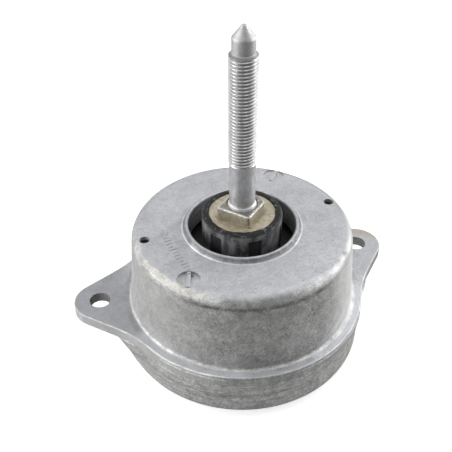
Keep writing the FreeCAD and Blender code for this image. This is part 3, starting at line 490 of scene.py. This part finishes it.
def upper_casting(shade):
    """The bell: mottled sides, bluish flats, a cream worn rim, painted highlights on its thin bright edges,
    painted light and shade in places, and a stain on one ear.
    """
    spot = Spot(shade)
    flats = shade.calc("MAXIMUM", shade.ramp(spot.height, BELL_TOP - 1.6, BELL_TOP - 0.3), spot.flange)
    colour = shade.mix(flats, bell_side(shade, spot), bell_flats(shade, spot))
    colour = flange_tone(shade, spot, colour)
    colour = top_tone(shade, spot, colour)
    colour, worn = rim_wear_and_shade(shade, spot, colour)
    colour, hollow = bright_lines(shade, spot, colour)
    colour = ear_stain(shade, spot, colour)
    stamp = stamped_row(shade, spot.point)
    colour = shade.mix(shade.product(stamp, 0.8), colour, (0.14, 0.14, 0.15, 1))
    relief = shade.product(spot.skin["Relief"], shade.ramp(hollow, 0.0, 1.0, 1.0, 0.25))
    relief = shade.calc("MULTIPLY_ADD", stamp, -0.9, relief)
    rough = shade.ramp(spot.skin["Grain"], 0.3, 0.7, 0.44, 0.58)
    return {"Base Color": colour, "Metallic": shade.shift(worn, 0.7, 0.35),
            "Roughness": shade.shift(worn, rough, 0.62), "Normal": shade.bump(relief, 0.6, 0.0007)}


def lower_casting(shade):
    """The cup: the same mottled skin with level streaks, the mould's line and a pale line at the joint."""
    place = shade.group(PLACE)
    skin = shade.group(SKIN, Point=place["Point"])
    height = place["Height"]
    colour = cast_tone(shade, skin, (0.84, 0.84, 0.83, 1), (0.46, 0.46, 0.455, 1), 0.7)
    streak = shade.band(shade.noise(shade.stretched(place["Point"], 0.03, 0.5), 1.0, 3.0, 0.55), 0.5, 0.035)
    line = shade.product(shade.band(height, MOULD_LINE, 0.5), 0.85)
    line = shade.calc("MAXIMUM", line, shade.product(streak, 0.5))
    colour = shade.mix(line, colour, (0.16, 0.16, 0.16, 1))
    joint = shade.product(shade.band(height, JOINT, 0.5), shade.ramp(place["Radius"], 55.2, 56.2, 0.5, 0.0))
    colour = shade.mix(joint, colour, (0.7, 0.7, 0.71, 1))
    rough = shade.ramp(skin["Grain"], 0.3, 0.7, 0.46, 0.6)
    return {"Base Color": colour, "Metallic": 0.7, "Roughness": rough,
            "Normal": shade.bump(skin["Relief"], 0.6, 0.0007)}


def zinc_stud(shade):
    """Bright zinc with faint drawn lines, and painted shade in the thread's roots."""
    place = shade.group(PLACE)
    point, radius, height = place["Point"], place["Radius"], place["Height"]
    grain = shade.noise(point, 1.4, 3.0, 0.6)
    soft = shade.noise(point, 0.25, 3.0, 0.6)
    tone = shade.ramp(shade.calc("ADD", shade.product(grain, 0.4), soft), 0.5, 0.95)
    colour = shade.mix(tone, (0.54, 0.54, 0.545, 1), (0.72, 0.72, 0.725, 1))
    threaded = shade.product(shade.ramp(height, THREAD_LOW + 0.2, THREAD_LOW + 0.8),
                             shade.ramp(height, THREAD_HIGH + 0.2, THREAD_HIGH - 0.3))
    root_shade = shade.ramp(radius, CREST_RADIUS - 0.75, CREST_RADIUS - 0.25, 1.0, 0.0)
    colour = shade.mix(shade.product(threaded, 0.35), colour, grey(0.8))
    colour = shade.mix(shade.product(root_shade, threaded, 0.55), colour, grey(0.16))
    # The pilot and the cone are duller and turned, and painted shade darkens the slope below the pilot.
    turned = shade.noise(shade.stretched(point, 0.25, 5.0), 1.0, 3.0, 0.7)
    tip = shade.ramp(height, THREAD_HIGH - 0.6, THREAD_HIGH + 0.4)
    colour = shade.mix(shade.product(tip, shade.ramp(turned, 0.3, 0.7, 0.5, 0.95)), colour, grey(0.42))
    slope = shade.product(shade.band(height, THREAD_HIGH + 0.5, 1.0),
                          shade.ramp(radius, PILOT_RADIUS + 0.02, PILOT_RADIUS + 0.1, 0.0, 0.85))
    colour = shade.mix(slope, colour, grey(0.16))
    # The foot is paler, with painted shade in its groove.
    foot = shade.ramp(height, BOSS_TOP + 0.8, BOSS_TOP + 1.3, 1.0, 0.0)
    colour = shade.mix(foot, colour, (0.8, 0.8, 0.79, 1))
    groove = shade.product(shade.band(height, BOSS_TOP + 0.1, 0.3), 0.6)
    colour = shade.mix(groove, colour, grey(0.1))
    # Dirty streaks darken the stud.
    darkening = shade.ramp(shade.noise(shade.stretched(point, 1.0, 0.35), 0.5, 4.0, 0.7), 0.5, 0.7, 0.0, 0.35)
    colour = shade.mix(darkening, colour, (0.3, 0.3, 0.29, 1))
    rough = shade.ramp(grain, 0.3, 0.7, 0.3, 0.42)
    rough = shade.calc("ADD", rough, shade.product(shade.calc("MAXIMUM", tip, foot), 0.2))
    metal = shade.calc("MINIMUM", shade.shift(tip, 0.9, 0.75), shade.shift(foot, 0.9, 0.5))
    return {"Base Color": colour, "Metallic": metal, "Roughness": rough,
            "Normal": shade.bump(grain, 0.15, 0.0002)}


def straw_steel(shade):
    """Straw passivated steel: khaki faces with drawn streaks and stains, rubbed silver on the boss."""
    place = shade.group(PLACE)
    height = place["Height"]
    stain = shade.noise(place["Point"], 0.45, 4.0, 0.65)
    grain = shade.noise(place["Point"], 2.2, 3.0, 0.6)
    streak = shade.noise(shade.stretched(place["Point"], 1.0, 0.12), 1.3, 3.0, 0.6)
    khaki = shade.mix(shade.ramp(stain, 0.35, 0.65), (0.36, 0.325, 0.245, 1), (0.52, 0.475, 0.365, 1))
    khaki = shade.mix(shade.product(shade.ramp(streak, 0.5, 0.72), 0.35), khaki, (0.2, 0.19, 0.16, 1))
    silver = shade.mix(shade.ramp(grain, 0.35, 0.65), (0.5, 0.5, 0.48, 1), (0.78, 0.78, 0.76, 1))
    # On the boss the edges of its top are rubbed bright, and the rest of the top only in places.
    x, y, z = shade.split(place["Point"])
    out = -10.0
    for turn, distance in BOSS_SIDES:
        facing = math.radians(turn)
        side = shade.total((x, math.cos(facing)), (y, math.sin(facing)), (1.0, -distance))
        out = shade.calc("MAXIMUM", out, side)
    worn = shade.ramp(height, BOSS_TOP - 0.8, BOSS_TOP - 0.3)
    edge = shade.ramp(out, -1.2, -0.3, 0.0, 0.8)
    edge = shade.product(edge, shade.ramp(stain, 0.3, 0.5, 0.4, 1.0))
    edge = shade.calc("MAXIMUM", edge, shade.product(shade.ramp(stain, 0.5, 0.62), 0.5))
    scuffed = shade.product(worn, edge)
    grey = shade.product(worn, shade.ramp(grain, 0.3, 0.6, 0.6, 0.95))
    colour = shade.mix(scuffed, shade.mix(grey, khaki, (0.2, 0.195, 0.18, 1)), silver)
    # The boss's upright sides are darker.
    ledge = DISC_LEVEL + 0.4
    upright = shade.product(shade.ramp(height, ledge, ledge + 0.3), shade.calc("SUBTRACT", 1.0, worn))
    colour = shade.mix(shade.product(upright, 0.45), colour, (0.2, 0.185, 0.15, 1))
    # Painted shade darkens the crease along the boss's foot and the gap round the disc's rim.
    foot = shade.product(shade.band(out, 0.5, 0.9), shade.ramp(height, ledge + 0.6, ledge))
    foot = shade.calc("MAXIMUM", foot, shade.ramp(place["Radius"], DISC_RADIUS - 0.7, DISC_RADIUS))
    colour = shade.mix(shade.product(foot, 0.4), colour, (0.12, 0.11, 0.09, 1))
    rough = shade.shift(scuffed, shade.ramp(grain, 0.3, 0.7, 0.42, 0.55), 0.32)
    return {"Base Color": colour, "Metallic": 0.8, "Roughness": rough,
            "Normal": shade.bump(grain, 0.2, 0.0003)}


def dusty_rubber(shade):
    """Moulded rubber with a grey bloom, dust smeared between its recesses, and pale scuffs on its rim."""
    place = shade.group(PLACE)
    point, height = place["Point"], place["Height"]
    bloom = shade.noise(point, 0.22, 4.0, 0.6)
    grain = shade.noise(point, 2.5, 3.0, 0.6)
    scuff = shade.noise(shade.stretched(point, 0.6, 1.6), 0.9, 4.0, 0.7)
    smear = shade.noise(shade.stretched(point, 1.0, 0.45), 0.3, 4.0, 0.6)
    colour = shade.mix(shade.ramp(bloom, 0.3, 0.7), (0.03, 0.03, 0.032, 1), (0.07, 0.07, 0.075, 1))
    proud = shade.ramp(place["Radius"], COLLAR_RADIUS - 0.6, COLLAR_RADIUS - 0.15)
    dust = shade.product(shade.ramp(smear, 0.3, 0.68), shade.shift(proud, 0.1, 0.85))
    colour = shade.mix(dust, colour, (0.24, 0.24, 0.25, 1))
    # Painted shade darkens the top of the rim.
    over = shade.ramp(height, COLLAR_TOP - 1.6, COLLAR_TOP - 0.6, 0.0, 0.8)
    colour = shade.mix(over, colour, (0.006, 0.006, 0.007, 1))
    # Painted shade darkens the recesses low down.
    below = shade.ramp(height, COLLAR_TOP - 4.8, COLLAR_TOP - 3.4, 0.55, 0.0)
    below = shade.product(below, shade.calc("SUBTRACT", 1.0, proud))
    colour = shade.mix(below, colour, grey(0.006))
    rim = shade.ramp(height, COLLAR_TOP - 2.6, COLLAR_TOP - 0.6)
    mark = shade.product(shade.ramp(scuff, 0.56, 0.66), shade.calc("MULTIPLY_ADD", rim, 0.35, 0.15))
    colour = shade.mix(mark, colour, (0.34, 0.34, 0.35, 1))
    rough = shade.ramp(grain, 0.3, 0.7, 0.5, 0.68)
    return {"Base Color": colour, "Roughness": rough, "Specular IOR Level": 0.22,
            "Normal": shade.bump(grain, 0.3, 0.0003)}


def hidden_rubber(shade):
    place = shade.group(PLACE)
    grain = shade.noise(place["Point"], 1.2, 3.0, 0.6)
    colour = shade.mix(shade.ramp(grain, 0.35, 0.65), (0.012, 0.012, 0.012, 1), (0.03, 0.03, 0.03, 1))
    return {"Base Color": colour, "Roughness": shade.ramp(grain, 0.3, 0.7, 0.55, 0.75),
            "Normal": shade.bump(grain, 0.3, 0.0003)}


def hidden_steel(shade):
    place = shade.group(PLACE)
    grain = shade.noise(place["Point"], 0.8, 4.0, 0.6)
    colour = shade.mix(shade.ramp(grain, 0.35, 0.65), (0.06, 0.06, 0.062, 1), (0.13, 0.13, 0.13, 1))
    return {"Base Color": colour, "Metallic": 0.8, "Roughness": shade.ramp(grain, 0.3, 0.7, 0.42, 0.6),
            "Normal": shade.bump(grain, 0.2, 0.0003)}


def hidden_alloy(shade):
    place = shade.group(PLACE)
    skin = shade.group(SKIN, Point=place["Point"])
    return {"Base Color": cast_tone(shade, skin, (0.55, 0.55, 0.56, 1), (0.42, 0.42, 0.43, 1), 0.3),
            "Metallic": 0.75, "Roughness": shade.ramp(skin["Grain"], 0.3, 0.7, 0.4, 0.55),
            "Normal": shade.bump(skin["Relief"], 0.3, 0.0005)}


UPPER_CASTING = material("upper casting", upper_casting)
LOWER_CASTING = material("lower casting", lower_casting)
ZINC = material("zinc stud", zinc_stud)
STRAW_STEEL = material("straw steel", straw_steel)
DUSTY_RUBBER = material("dusty rubber", dusty_rubber)
HIDDEN_RUBBER = material("hidden rubber", hidden_rubber)
HIDDEN_STEEL = material("hidden steel", hidden_steel)
HIDDEN_ALLOY = material("hidden alloy", hidden_alloy)

NODE_FINISH = {
    "upper_housing": UPPER_CASTING, "lower_housing": LOWER_CASTING, "core_head": STRAW_STEEL,
    "spring_ring": HIDDEN_STEEL, "channel_rivets": HIDDEN_STEEL, "diaphragm_ring": HIDDEN_STEEL,
    "vent_plug": HIDDEN_STEEL, "rebound_plate": HIDDEN_STEEL, "channel_top": HIDDEN_ALLOY,
    "channel_base": HIDDEN_ALLOY, "core_cone": HIDDEN_ALLOY, "main_spring": HIDDEN_RUBBER,
    "decoupler": HIDDEN_RUBBER, "rim_seal": HIDDEN_RUBBER, "diaphragm": HIDDEN_RUBBER,
    "bump_pad": HIDDEN_RUBBER, "rebound_buffer": HIDDEN_RUBBER,
}
for name, finish in NODE_FINISH.items():
    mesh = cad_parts[name].data
    mesh.materials.clear()
    mesh.materials.append(finish)


# Pieces worked out as surfaces.

def surface(name, points, finish, hoop=False):
    """A closed surface from a grid of rows by columns of points in millimetres.

    Columns close round the axis, anticlockwise. Rows run up the outside. A hoop's last row joins its first,
    and otherwise the first and the last row close on their own middle."""
    rows, columns = points.shape[:2]
    row, column = np.meshgrid(np.arange(rows if hoop else rows - 1), np.arange(columns), indexing="ij")
    after, above = (column + 1) % columns, (row + 1) % rows
    faces = np.stack([row * columns + column, row * columns + after, above * columns + after,
                      above * columns + column], -1).reshape(-1, 4).tolist()
    vertices = points.reshape(-1, 3)
    if not hoop:
        column = np.arange(columns)
        after, top = (column + 1) % columns, (rows - 1) * columns
        faces += np.stack([after, column, np.full(columns, rows * columns)], -1).tolist()
        faces += np.stack([top + column, top + after, np.full(columns, rows * columns + 1)], -1).tolist()
        vertices = np.concatenate([vertices, points[:1].mean(1), points[-1:].mean(1)])
    mesh = bpy.data.meshes.new(name)
    mesh.from_pydata((vertices / 1000).tolist(), [], faces)
    mesh.polygons.foreach_set("use_smooth", np.ones(len(mesh.polygons), bool))
    mesh.set_sharp_from_angle(angle=math.radians(32))
    mesh.materials.append(finish)
    mesh.update()
    piece = bpy.data.objects.new(name, mesh)
    bpy.context.scene.collection.objects.link(piece)
    return piece


def arc(middle, radius, start, end, count=9):
    """Radius and height pairs on an arc between two angles, in degrees from outwards towards up."""
    angles = np.radians(np.linspace(start, end, count))
    return [(middle[0] + radius * math.cos(a), middle[1] + radius * math.sin(a)) for a in angles]


def resampled(corners, step):
    """Radius and height pairs of a profile, with extra points so that none lie further apart than a step."""
    corners = np.array(corners, float)
    runs = np.linalg.norm(np.diff(corners, axis=0), axis=1)
    parts = [np.linspace(start, end, max(2, int(math.ceil(run / step)) + 1))[:-1]
             for start, end, run in zip(corners[:-1], corners[1:], runs)]
    return np.concatenate(parts + [corners[-1:]])


def eased(share):
    """A share held between nothing and one, with soft ends: 3 s^2 - 2 s^3."""
    share = np.clip(share, 0, 1)
    return share * share * (3 - 2 * share)


def threaded_stud():
    """Radius of the stud by height and turn.

    The plain profile gives the radius by height, with three small steps at the foot. On the threaded length
    the radius drops from the crest by the groove's depth times a rounded saw wave of
    (height / pitch - turn / 360), and the depth fades to nothing at both ends of the thread."""
    pitch, depth, columns = 1.5, 0.78, 96
    profile = [
        (SHANK_RADIUS, STUD_LOW), (SHANK_RADIUS, BOSS_TOP - 0.8),
        (6.25, BOSS_TOP - 0.3), (6.25, BOSS_TOP - 0.1), (5.9, BOSS_TOP + 0.25), (5.9, BOSS_TOP + 0.7),
        (5.65, BOSS_TOP + 0.95), (5.65, BOSS_TOP + 1.4),
        (SHANK_RADIUS, BOSS_TOP + 1.5), (SHANK_RADIUS, THREAD_LOW), (CREST_RADIUS, THREAD_LOW + 0.7),
        (CREST_RADIUS, THREAD_HIGH), (PILOT_RADIUS, PILOT_LOW), (PILOT_RADIUS, PILOT_TOP),
        (PILOT_RADIUS - 0.08, PILOT_TOP + 0.3), (0.9, STUD_TOP - 0.2), (0.35, STUD_TOP)]
    upright = resampled(profile, 0.8)
    fine = np.arange(THREAD_LOW - 0.4, THREAD_HIGH + 0.4, pitch / 12)
    threaded = np.stack([np.interp(fine, upright[:, 1], upright[:, 0]), fine], -1)
    rows = np.concatenate([upright[upright[:, 1] < fine[0]], threaded, upright[upright[:, 1] > fine[-1]]])
    turn = np.linspace(0, 2 * math.pi, columns, endpoint=False)
    height = rows[:, 1:2]
    wave = np.abs((height / pitch - turn[None, :] / (2 * math.pi)) % 1.0 - 0.5) * 2
    groove = eased((wave - 0.2) / 0.7)
    fade_in = np.clip((height - THREAD_LOW - 0.2) / 0.8, 0, 1)
    fade_out = np.clip((THREAD_HIGH + 0.1 - height) / 0.5, 0, 1)
    radius = rows[:, :1] - depth * groove * fade_in * fade_out
    height = np.broadcast_to(height, radius.shape)
    points = np.stack([radius * np.cos(turn), radius * np.sin(turn), height], -1)
    return surface("threaded_stud", points, ZINC)


def dressed_collar():
    """Radius of the collar by height and turn.

    The profile runs up the outside, over the rim and down the bore. Outside, six recesses lower the radius by
    their depth, with soft sides by the turn and a soft top by the height."""
    columns = 240
    disc, bore = DISC_RADIUS + 0.12, NECK_RADIUS + 0.1
    rim = arc((COLLAR_RADIUS - COLLAR_ROUND, COLLAR_TOP - COLLAR_ROUND), COLLAR_ROUND, 0, 90)
    inner = [(DISC_RADIUS + 0.4, COLLAR_TOP), (disc, COLLAR_TOP - 0.25), (disc, DISC_LOW - 0.1),
             (bore, DISC_LOW - 0.15), (bore, BUFFER_TOP)]
    rows = resampled([(COLLAR_RADIUS, BUFFER_TOP)] + rim + inner, 0.45)
    turn = np.linspace(0, 2 * math.pi, columns, endpoint=False)
    radius = np.broadcast_to(rows[:, :1], (len(rows), columns)).copy()
    height = np.broadcast_to(rows[:, 1:2], radius.shape)
    # The recesses' middles lie half a step off the X axis.
    step = 360.0 / RECESS_COUNT
    nearest = np.abs(np.degrees(turn)[None, :] % step - step / 2)
    across = np.radians(nearest) * COLLAR_RADIUS
    sunk = np.clip((3.6 - across) / 1.1, 0, 1) * np.clip((COLLAR_TOP - 3.2 - height) / 1.2, 0, 1)
    radius -= np.where(radius > COLLAR_RADIUS - 0.3, RECESS_DEPTH * eased(sunk), 0)
    # The inner edge is a little ragged where the rubber has crept over the disc.
    ragged = 0.16 * np.sin(5 * turn + 0.7) + 0.1 * np.sin(11 * turn + 2.0) + 0.06 * np.sin(23 * turn)
    lip = (height > COLLAR_TOP - 0.3) & (radius < DISC_RADIUS + 0.6)
    radius = np.where(lip, radius - 0.25 + ragged[None, :], radius)
    points = np.stack([radius * np.cos(turn), radius * np.sin(turn), height], -1)
    return surface("dressed_collar", points, DUSTY_RUBBER, hoop=True)


def dressed_head():
    """Radius of the steel head by row and turn.

    Round rows keep one radius. The boss's rows follow its straight sides with rounded corners: with each
    side's turn a and distance d, radius = (sum of (max(0, cos(turn - a)) / d)^24)^(-1/24), and each row
    grows or shrinks the distances. The edge round the boss's top is worn unevenly."""
    turn = np.linspace(0, 2 * math.pi, 480, endpoint=False)

    def boss(growth):
        facing = [np.clip(np.cos(turn - math.radians(side)), 0, 1) / (distance + growth)
                  for side, distance in BOSS_SIDES]
        return np.sum(np.power(facing, 24), 0) ** (-1 / 24)

    wear = 0.45 + 0.12 * np.sin(9 * turn + 1.0) + 0.08 * np.sin(23 * turn) + 0.06 * np.sin(41 * turn + 2.0)
    step = DISC_LEVEL + 0.4
    rows = [(BORE_RADIUS, HEAD_LOW), (NECK_RADIUS, HEAD_LOW), (NECK_RADIUS, DISC_LOW),
            (DISC_RADIUS, DISC_LOW), (DISC_RADIUS, DISC_LEVEL - 0.2), (DISC_RADIUS - 0.2, DISC_LEVEL),
            (boss(0.6), DISC_LEVEL),
            (boss(0.5), step), (boss(0.0), step), (boss(0.0), BOSS_TOP - 0.8 * wear),
            (boss(-0.3 * wear), BOSS_TOP - 0.3 * wear), (boss(-wear), BOSS_TOP - 0.03),
            (boss(-wear - 0.3), BOSS_TOP), (6.7, BOSS_TOP), (6.6, BOSS_TOP - 1.2),
            (BORE_RADIUS, BOSS_TOP - 1.2)]
    radius = np.stack([np.broadcast_to(row[0], turn.shape) for row in rows])
    height = np.stack([np.broadcast_to(row[1], turn.shape) for row in rows])
    return surface("dressed_head", np.stack([radius * np.cos(turn), radius * np.sin(turn), height], -1),
                   STRAW_STEEL, hoop=True)


def dressed_cup():
    """Radius of the cup by height and turn: the solid's profile, and a flare up to the joint under each ear.

    The flare adds 7.6 mm times (share of the height above 4 mm) to the power 1.15, times a soft step of the
    angle off the ear's line from 12 to 38 degrees. It is cut off straight, short of the bolt's hole."""
    columns = 480
    corner = arc((CUP_LOW_RADIUS - CUP_ROUND, FOOT_HEIGHT + CUP_ROUND), CUP_ROUND, -90, 0, 13)
    outer = resampled([(FOOT_RADIUS, 0.3), (FOOT_RADIUS, FOOT_HEIGHT)] + corner
                      + [(CUP_LOW_RADIUS, MOULD_LINE), (CUP_RADIUS, MOULD_LINE + 0.05),
                         (CUP_RADIUS, JOINT - 0.35), (CUP_RADIUS - 0.1, JOINT - 0.1),
                         (CUP_RADIUS - 0.35, JOINT)], 0.7)
    inner = resampled([(SPIGOT_RADIUS, JOINT), (SPIGOT_RADIUS, SPIGOT_TOP), (SEAT_RADIUS, SPIGOT_TOP),
                       (SEAT_RADIUS, RING_LOW), (CUP_BORE, RING_LOW), (CUP_BORE, FLOOR_LEVEL),
                       (VENT_RADIUS, FLOOR_LEVEL), (VENT_RADIUS, 0.0), (FOOT_RADIUS - 0.3, 0.0)], 4.0)
    turn = np.linspace(0, 2 * math.pi, columns, endpoint=False)
    rows = np.concatenate([outer, inner])
    height = np.broadcast_to(rows[:, 1:2], (len(rows), columns))
    off = np.degrees(np.arctan2(np.sin(turn), np.abs(np.cos(turn))))[None, :] - EAR_ANGLE
    rise = 7.6 * np.clip((height - 4.0) / (JOINT - 4.0), 0, 1) ** 1.15 * eased((38.0 - np.abs(off)) / 26.0)
    rise[len(outer):] = 0
    radius = rows[:, :1] + rise
    end = (EAR_REACH - 6.2) / np.cos(np.radians(off))
    radius = np.where(rise > 0, np.minimum(radius, end), radius)
    points = np.stack([radius * np.cos(turn), radius * np.sin(turn), height], -1)
    return surface("dressed_cup", points, LOWER_CASTING, hoop=True)


stud = threaded_stud()
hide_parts("stud")
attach(stud, "core")
collar = dressed_collar()
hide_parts("rubber_collar")
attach(collar, "core")
head = dressed_head()
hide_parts("core_head")
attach(head, "core")
cup = dressed_cup()
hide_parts("lower_housing")
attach(cup, "housing")


# Floor, light and camera.

def floor_finish(shade, out):
    """Pale floor: the camera sees it as white with a soft shadow, and other rays see plain pale paint.

    To reflections the floor in front of the mount is dim, like the room on the camera's side."""
    paths = shade.add("ShaderNodeLightPath").outputs
    point = shade.add("ShaderNodeTexCoord").outputs["Object"]
    grain = shade.noise(point, 40.0)
    x, y, z = shade.split(point)
    dim = shade.ramp(shade.total((x, -0.07), (y, -0.998)), 0.02, 0.16, 0.0, 0.45)
    pale = shade.mix(shade.ramp(grain, 0.3, 0.7), (0.57, 0.57, 0.57, 1), (0.61, 0.61, 0.61, 1))
    paint = shade.add("ShaderNodeBsdfDiffuse")
    dim = shade.product(dim, paths["Is Glossy Ray"])
    shade.feed(paint.inputs["Color"], shade.mix(dim, pale, (0, 0, 0, 1)))
    glow = shade.add("ShaderNodeEmission")
    white = shade.ramp(shade.length(x, y), 0.25, 1.2, 0.72, 0.95)
    shade.feed(glow.inputs["Strength"], shade.product(paths["Is Camera Ray"], white))
    both = shade.add("ShaderNodeAddShader")
    shade.feed(both.inputs[0], paint.outputs[0])
    shade.feed(both.inputs[1], glow.outputs[0])
    shade.feed(out.inputs["Surface"], both.outputs[0])


def make_floor():
    mesh = bpy.data.meshes.new("floor")
    half = 6.0
    corners = [(-half, -half, 0), (half, -half, 0), (half, half, 0), (-half, half, 0)]
    mesh.from_pydata(corners, [], [(0, 1, 2, 3)])
    made = bpy.data.materials.new("floor")
    made.use_nodes = True
    shade = Shade(made.node_tree)
    made.node_tree.nodes.remove(made.node_tree.nodes["Principled BSDF"])
    floor_finish(shade, made.node_tree.nodes["Material Output"])
    mesh.materials.append(made)
    floor = bpy.data.objects.new("floor", mesh)
    bpy.context.scene.collection.objects.link(floor)


def make_world():
    """White to the camera. Reflections see the same white, but for the dim room on the camera's side."""
    world = bpy.data.worlds.new("studio")
    bpy.context.scene.world = world
    world.use_nodes = True
    shade = Shade(world.node_tree)
    paths = shade.add("ShaderNodeLightPath").outputs
    parts = shade.add("ShaderNodeSeparateXYZ")
    shade.feed(parts.inputs[0], shade.add("ShaderNodeTexCoord").outputs["Generated"])
    front = shade.total((parts.outputs[0], -0.07), (parts.outputs[1], -0.998))
    room = shade.ramp(front, 0.25, 0.9, 1.0, 0.1)
    level = shade.shift(paths["Is Glossy Ray"], 0.3, room)
    level = shade.shift(paths["Is Camera Ray"], level, 1.0)
    level = shade.shift(paths["Is Transmission Ray"], level, 1.0)
    shade.feed(world.node_tree.nodes["Background"].inputs["Strength"], level)
    world.node_tree.nodes["Background"].inputs["Color"].default_value = (1, 1, 1, 1)


def make_lamp(name, place, width, power):
    """A soft square lamp that looks at the bell."""
    data = bpy.data.lights.new(name, "AREA")
    data.shape = "SQUARE"
    data.size = width
    data.energy = power
    lamp = bpy.data.objects.new(name, data)
    lamp.location = place
    lamp.rotation_euler = (Vector(place) - Vector((0, 0, 0.05))).to_track_quat("Z", "Y").to_euler()
    bpy.context.scene.collection.objects.link(lamp)


def make_camera():
    """The view that was fitted to the circles of the mount in the photograph."""
    turn, rise, roll = (math.radians(angle) for angle in (CAMERA_TURN, CAMERA_RISE, CAMERA_ROLL))
    back = Vector((math.sin(turn) * math.cos(rise), -math.cos(turn) * math.cos(rise), math.sin(rise)))
    right = (-back).cross(Vector((0, 0, 1))).normalized()
    down = (-back).cross(right)
    right, down = (math.cos(roll) * right + math.sin(roll) * down,
                   math.cos(roll) * down - math.sin(roll) * right)
    target = Vector((-CAMERA_SHIFT * math.cos(turn), -CAMERA_SHIFT * math.sin(turn), BELL_TOP - 0.3)) / 1000
    data = bpy.data.cameras.new("camera")
    data.sensor_width = SENSOR_WIDTH
    data.lens = SENSOR_WIDTH * FOCAL_PIXELS / PICTURE_PIXELS
    data.clip_start = 0.01
    camera = bpy.data.objects.new("camera", data)
    matrix = Matrix((right, -down, back)).transposed().to_4x4()
    matrix.translation = target + back * CAMERA_DISTANCE / 1000
    camera.matrix_world = matrix
    bpy.context.scene.collection.objects.link(camera)
    bpy.context.scene.camera = camera


make_floor()
make_world()
make_lamp("left lamp", (-0.62, 0.07, 0.22), 0.5, 3.8)
make_lamp("right lamp", (0.62, 0.02, 0.22), 0.5, 3.5)
make_lamp("top lamp", (0.1, 0.05, 0.8), 0.6, 1.3)
make_camera()

scene = bpy.context.scene
scene.view_settings.view_transform = "Standard"

bpy.context.view_layer.update()
